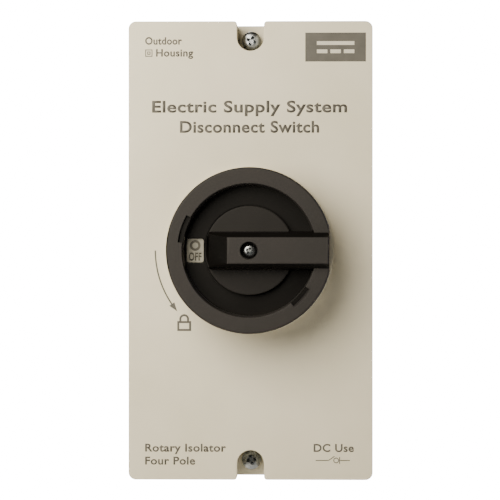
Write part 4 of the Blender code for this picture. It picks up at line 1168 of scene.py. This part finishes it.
@dataclass
class Screws(SubAssembly):
    """Pan-head screws that can be seen, with driver recesses and cut threads.

    The arms of the recess and the dome are shares of the head's radius or height.
    """

    arm_reach: float = 0.68
    arm_half: float = 0.17
    arm_floor: float = 0.15
    arm_taper: tuple[float, float, float] = (0.3, 1.0, 0.7)
    dome: float = 0.55
    dome_steps: int = 8
    brim: float = 0.15 * MM

    def pan_head(self, name: str, node: str, head: float, height: float, shank: float, turn: float,
                 pitch: float) -> Piece:
        """Model one screw in the place of a CAD screw that lies along the Y axis.

        Args:
            name: The new piece's name.
            node: The CAD screw.
            head: The head's radius.
            height: The head's height.
            shank: The shank's radius.
            turn: How far its recess is turned, in degrees.
            pitch: The distance between threads.

        Returns:
            The screw.
        """
        low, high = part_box(node)
        tip, top = -high.y, -low.y
        seat = top - height
        middle = (low + high) / 2
        profile = [(0.0, tip), (shank * 0.7, tip)]
        out = tip + shank * 0.3
        depth = pitch * 0.3
        while out < seat - 1.5 * pitch:
            profile += [(shank - depth, out), (shank, out + pitch / 2)]
            out += pitch
        profile += [(shank - depth, out), (shank - depth, seat), (head - self.brim, seat),
                    (head, seat + self.brim)]
        rise = height * self.dome
        profile.append((head, seat + height - rise))
        for step in range(1, self.dome_steps):
            angle = step / self.dome_steps * math.pi / 2
            profile.append((head * math.cos(angle) ** self.dome, seat + height - rise + rise * math.sin(angle)))
        profile.append((0.0, top))
        screw = turned(name, profile, 40)
        for angle in (0, 90):
            floor = seat + height * self.arm_floor
            arm = block("arm", (-head * self.arm_reach, head * self.arm_reach), (floor, top + MM),
                        (-head * self.arm_half, head * self.arm_half))
            with editing(arm):
                choose(arm, "FACE", lambda centre, normal: normal.y > 0.9)
                bpy.ops.transform.resize(value=self.arm_taper, center_override=(0, -floor, 0))
            arm.matrix_world = Matrix.Rotation(math.radians(angle), 4, "Y")
            shape(screw, Cut.REMOVE, settle(arm, "arm"))
        screw.matrix_world = (Matrix.Translation((middle.x, 0, middle.z))
                              @ Matrix.Rotation(math.radians(turn), 4, "Y"))
        return settle(screw, name)

    def make(self) -> None:
        """Model the two lid screws and the handle screw."""
        for place, turn in (("top", 22.0), ("bottom", -12.0)):
            screw = self.pan_head(f"cover_screw_{place}", f"lid_screw_{place}", 3.9 * MM, 2.4 * MM, 1.9 * MM, turn,
                                  0.9 * MM)
            self.hand_over(finish_shading(screw, 30.0), Finish.ZINC, "lid", "zinc_steel", [f"lid_screw_{place}"])
        screw = self.pan_head("handle_screw", "knob_screw", 2.7 * MM, 2.0 * MM, 1.45 * MM, 25.0, 0.7 * MM)
        self.hand_over(finish_shading(screw, 30.0), Finish.ZINC, "knob", "zinc_steel", ["knob_screw"])


# ---------------------------------------------------------------------------------------------------------
# Carried-over nodes, stage, camera and light
# ---------------------------------------------------------------------------------------------------------

SLOT_FINISH = {
    "grey_moulding": Finish.HOUSING,
    "black_moulding": Finish.HANDLE,
    "dark_plate": Finish.PLATE,
    "silver_label": Finish.LABEL,
    "zinc_steel": Finish.ZINC,
    "spring_steel": Finish.SPRING,
    "rail_steel": Finish.RAIL,
    "copper": Finish.COPPER,
    "brass": Finish.BRASS,
    "switch_moulding": Finish.DECK,
    "rotor_moulding": Finish.ROTOR,
    "rubber_seal": Finish.SEAL,
}


def dress_nodes(palette: Palette) -> None:
    """Give every carried-over CAD node the finish of its slot."""
    slots = {part["node"]: part["material_slot"] for part in frame["record"]["subparts"]}
    for name, node in frame["nodes"].items():
        palette.dress(node, SLOT_FINISH[slots[name]])


@dataclass(frozen=True)
class SoftLight:
    """A round soft light that faces the lid's middle."""

    name: str
    place: tuple[float, float, float]
    size: float
    power: float
    colour: str

    def hang(self) -> None:
        """Add the light to the scene."""
        data = bpy.data.lights.new(self.name, "AREA")
        data.shape = "DISK"
        data.size = self.size
        data.energy = self.power
        data.color = linear(self.colour)[:3]
        made = bpy.data.objects.new(self.name, data)
        bpy.context.scene.collection.objects.link(made)
        made.location = self.place
        aim = Vector((0, -LID_FACE, 0)) - made.location
        made.rotation_euler = aim.to_track_quat("-Z", "Y").to_euler()
        made.visible_camera = False


@dataclass(frozen=True)
class Studio:
    """Pale floor, soft lights and the camera."""

    distance: float = 900 * MM
    aside: float = 20 * MM
    view_width: float = 200.4 * MM
    sensor: float = 36.0
    floor_drop: float = 120 * MM
    floor_radius: float = 0.78
    floor_middle: float = -0.28
    backdrop: float = 18.0
    room: float = 0.02
    aim_x: float = -0.2 * MM
    aim_z: float = 0.2 * MM
    lights: tuple[SoftLight, ...] = (
        SoftLight("key", (-0.17, -0.38, 0.14), 0.36, 3.8, "#fff5e2"),
        SoftLight("side", (0.75, 0.30, 0.15), 0.4, 4.0, "#f6f6ff"),
        SoftLight("back", (-0.2, 1.0, 0.9), 0.8, 12.0, "#ffffff"),
    )

    def camera(self) -> None:
        """Aim a long lens at the lid's middle from a little to its right."""
        aim = Vector((self.aim_x, -LID_FACE, self.aim_z))
        data = bpy.data.cameras.new("camera")
        data.sensor_width = self.sensor
        data.lens = self.sensor * self.distance / self.view_width
        made = bpy.data.objects.new("camera", data)
        bpy.context.scene.collection.objects.link(made)
        made.location = aim + Vector((self.aside, -self.distance, 0))
        made.rotation_euler = (aim - made.location).to_track_quat("-Z", "Y").to_euler()
        bpy.context.scene.camera = made

    def floor(self) -> None:
        """Lay the pale floor under the object."""
        clear_selection()
        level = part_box("enclosure_base")[0].z - self.floor_drop
        bpy.ops.mesh.primitive_circle_add(vertices=128, radius=self.floor_radius, fill_type="NGON",
                                          location=(0, self.floor_middle, level))
        made = settle(bpy.context.object, "floor")
        data, tree, shader = start_material("matt_white_floor")
        shader.inputs["Base Color"].default_value = linear("#efeeeb")
        shader.inputs["Roughness"].default_value = 0.9
        made.data.materials.append(data)

    def world(self) -> None:
        """Fill the room with faint even light, and show it bright white behind the object."""
        made = bpy.data.worlds.new("room")
        made.use_nodes = True
        tree = made.node_tree
        tree.nodes.clear()
        sight = add_node(tree, "LightPath", {}, {})
        seen = add_node(tree, "Background", {"Color": linear("#ffffff"), "Strength": self.backdrop}, {})
        cast = add_node(tree, "Background", {"Color": linear("#f7f8ff"), "Strength": self.room}, {})
        mixed = tree.nodes.new("ShaderNodeMixShader")
        tree.links.new(sight.outputs["Is Camera Ray"], mixed.inputs[0])
        tree.links.new(cast.outputs[0], mixed.inputs[1])
        tree.links.new(seen.outputs[0], mixed.inputs[2])
        add_node(tree, "OutputWorld", {}, {"Surface": mixed.outputs[0]})
        bpy.context.scene.world = made

    def make(self) -> None:
        """Set up the whole studio."""
        self.camera()
        self.floor()
        self.world()
        for light in self.lights:
            light.hang()


def main() -> None:
    """Build every sub-assembly in order."""
    logging.basicConfig(level=logging.INFO, format="%(name)s: %(message)s")
    palette = Palette()
    dress_nodes(palette)
    Studio().make()
    enclosure = Enclosure(palette)
    enclosure.make_base()
    enclosure.make_lid()
    handle = Handle(palette)
    handle.make_knob()
    handle.make_legend()
    Screws(palette).make()
    printing = LidPrint(palette)
    printing.texts()
    printing.badge()
    printing.symbols()
    clear_selection()


if __name__ == "__main__":
    main()
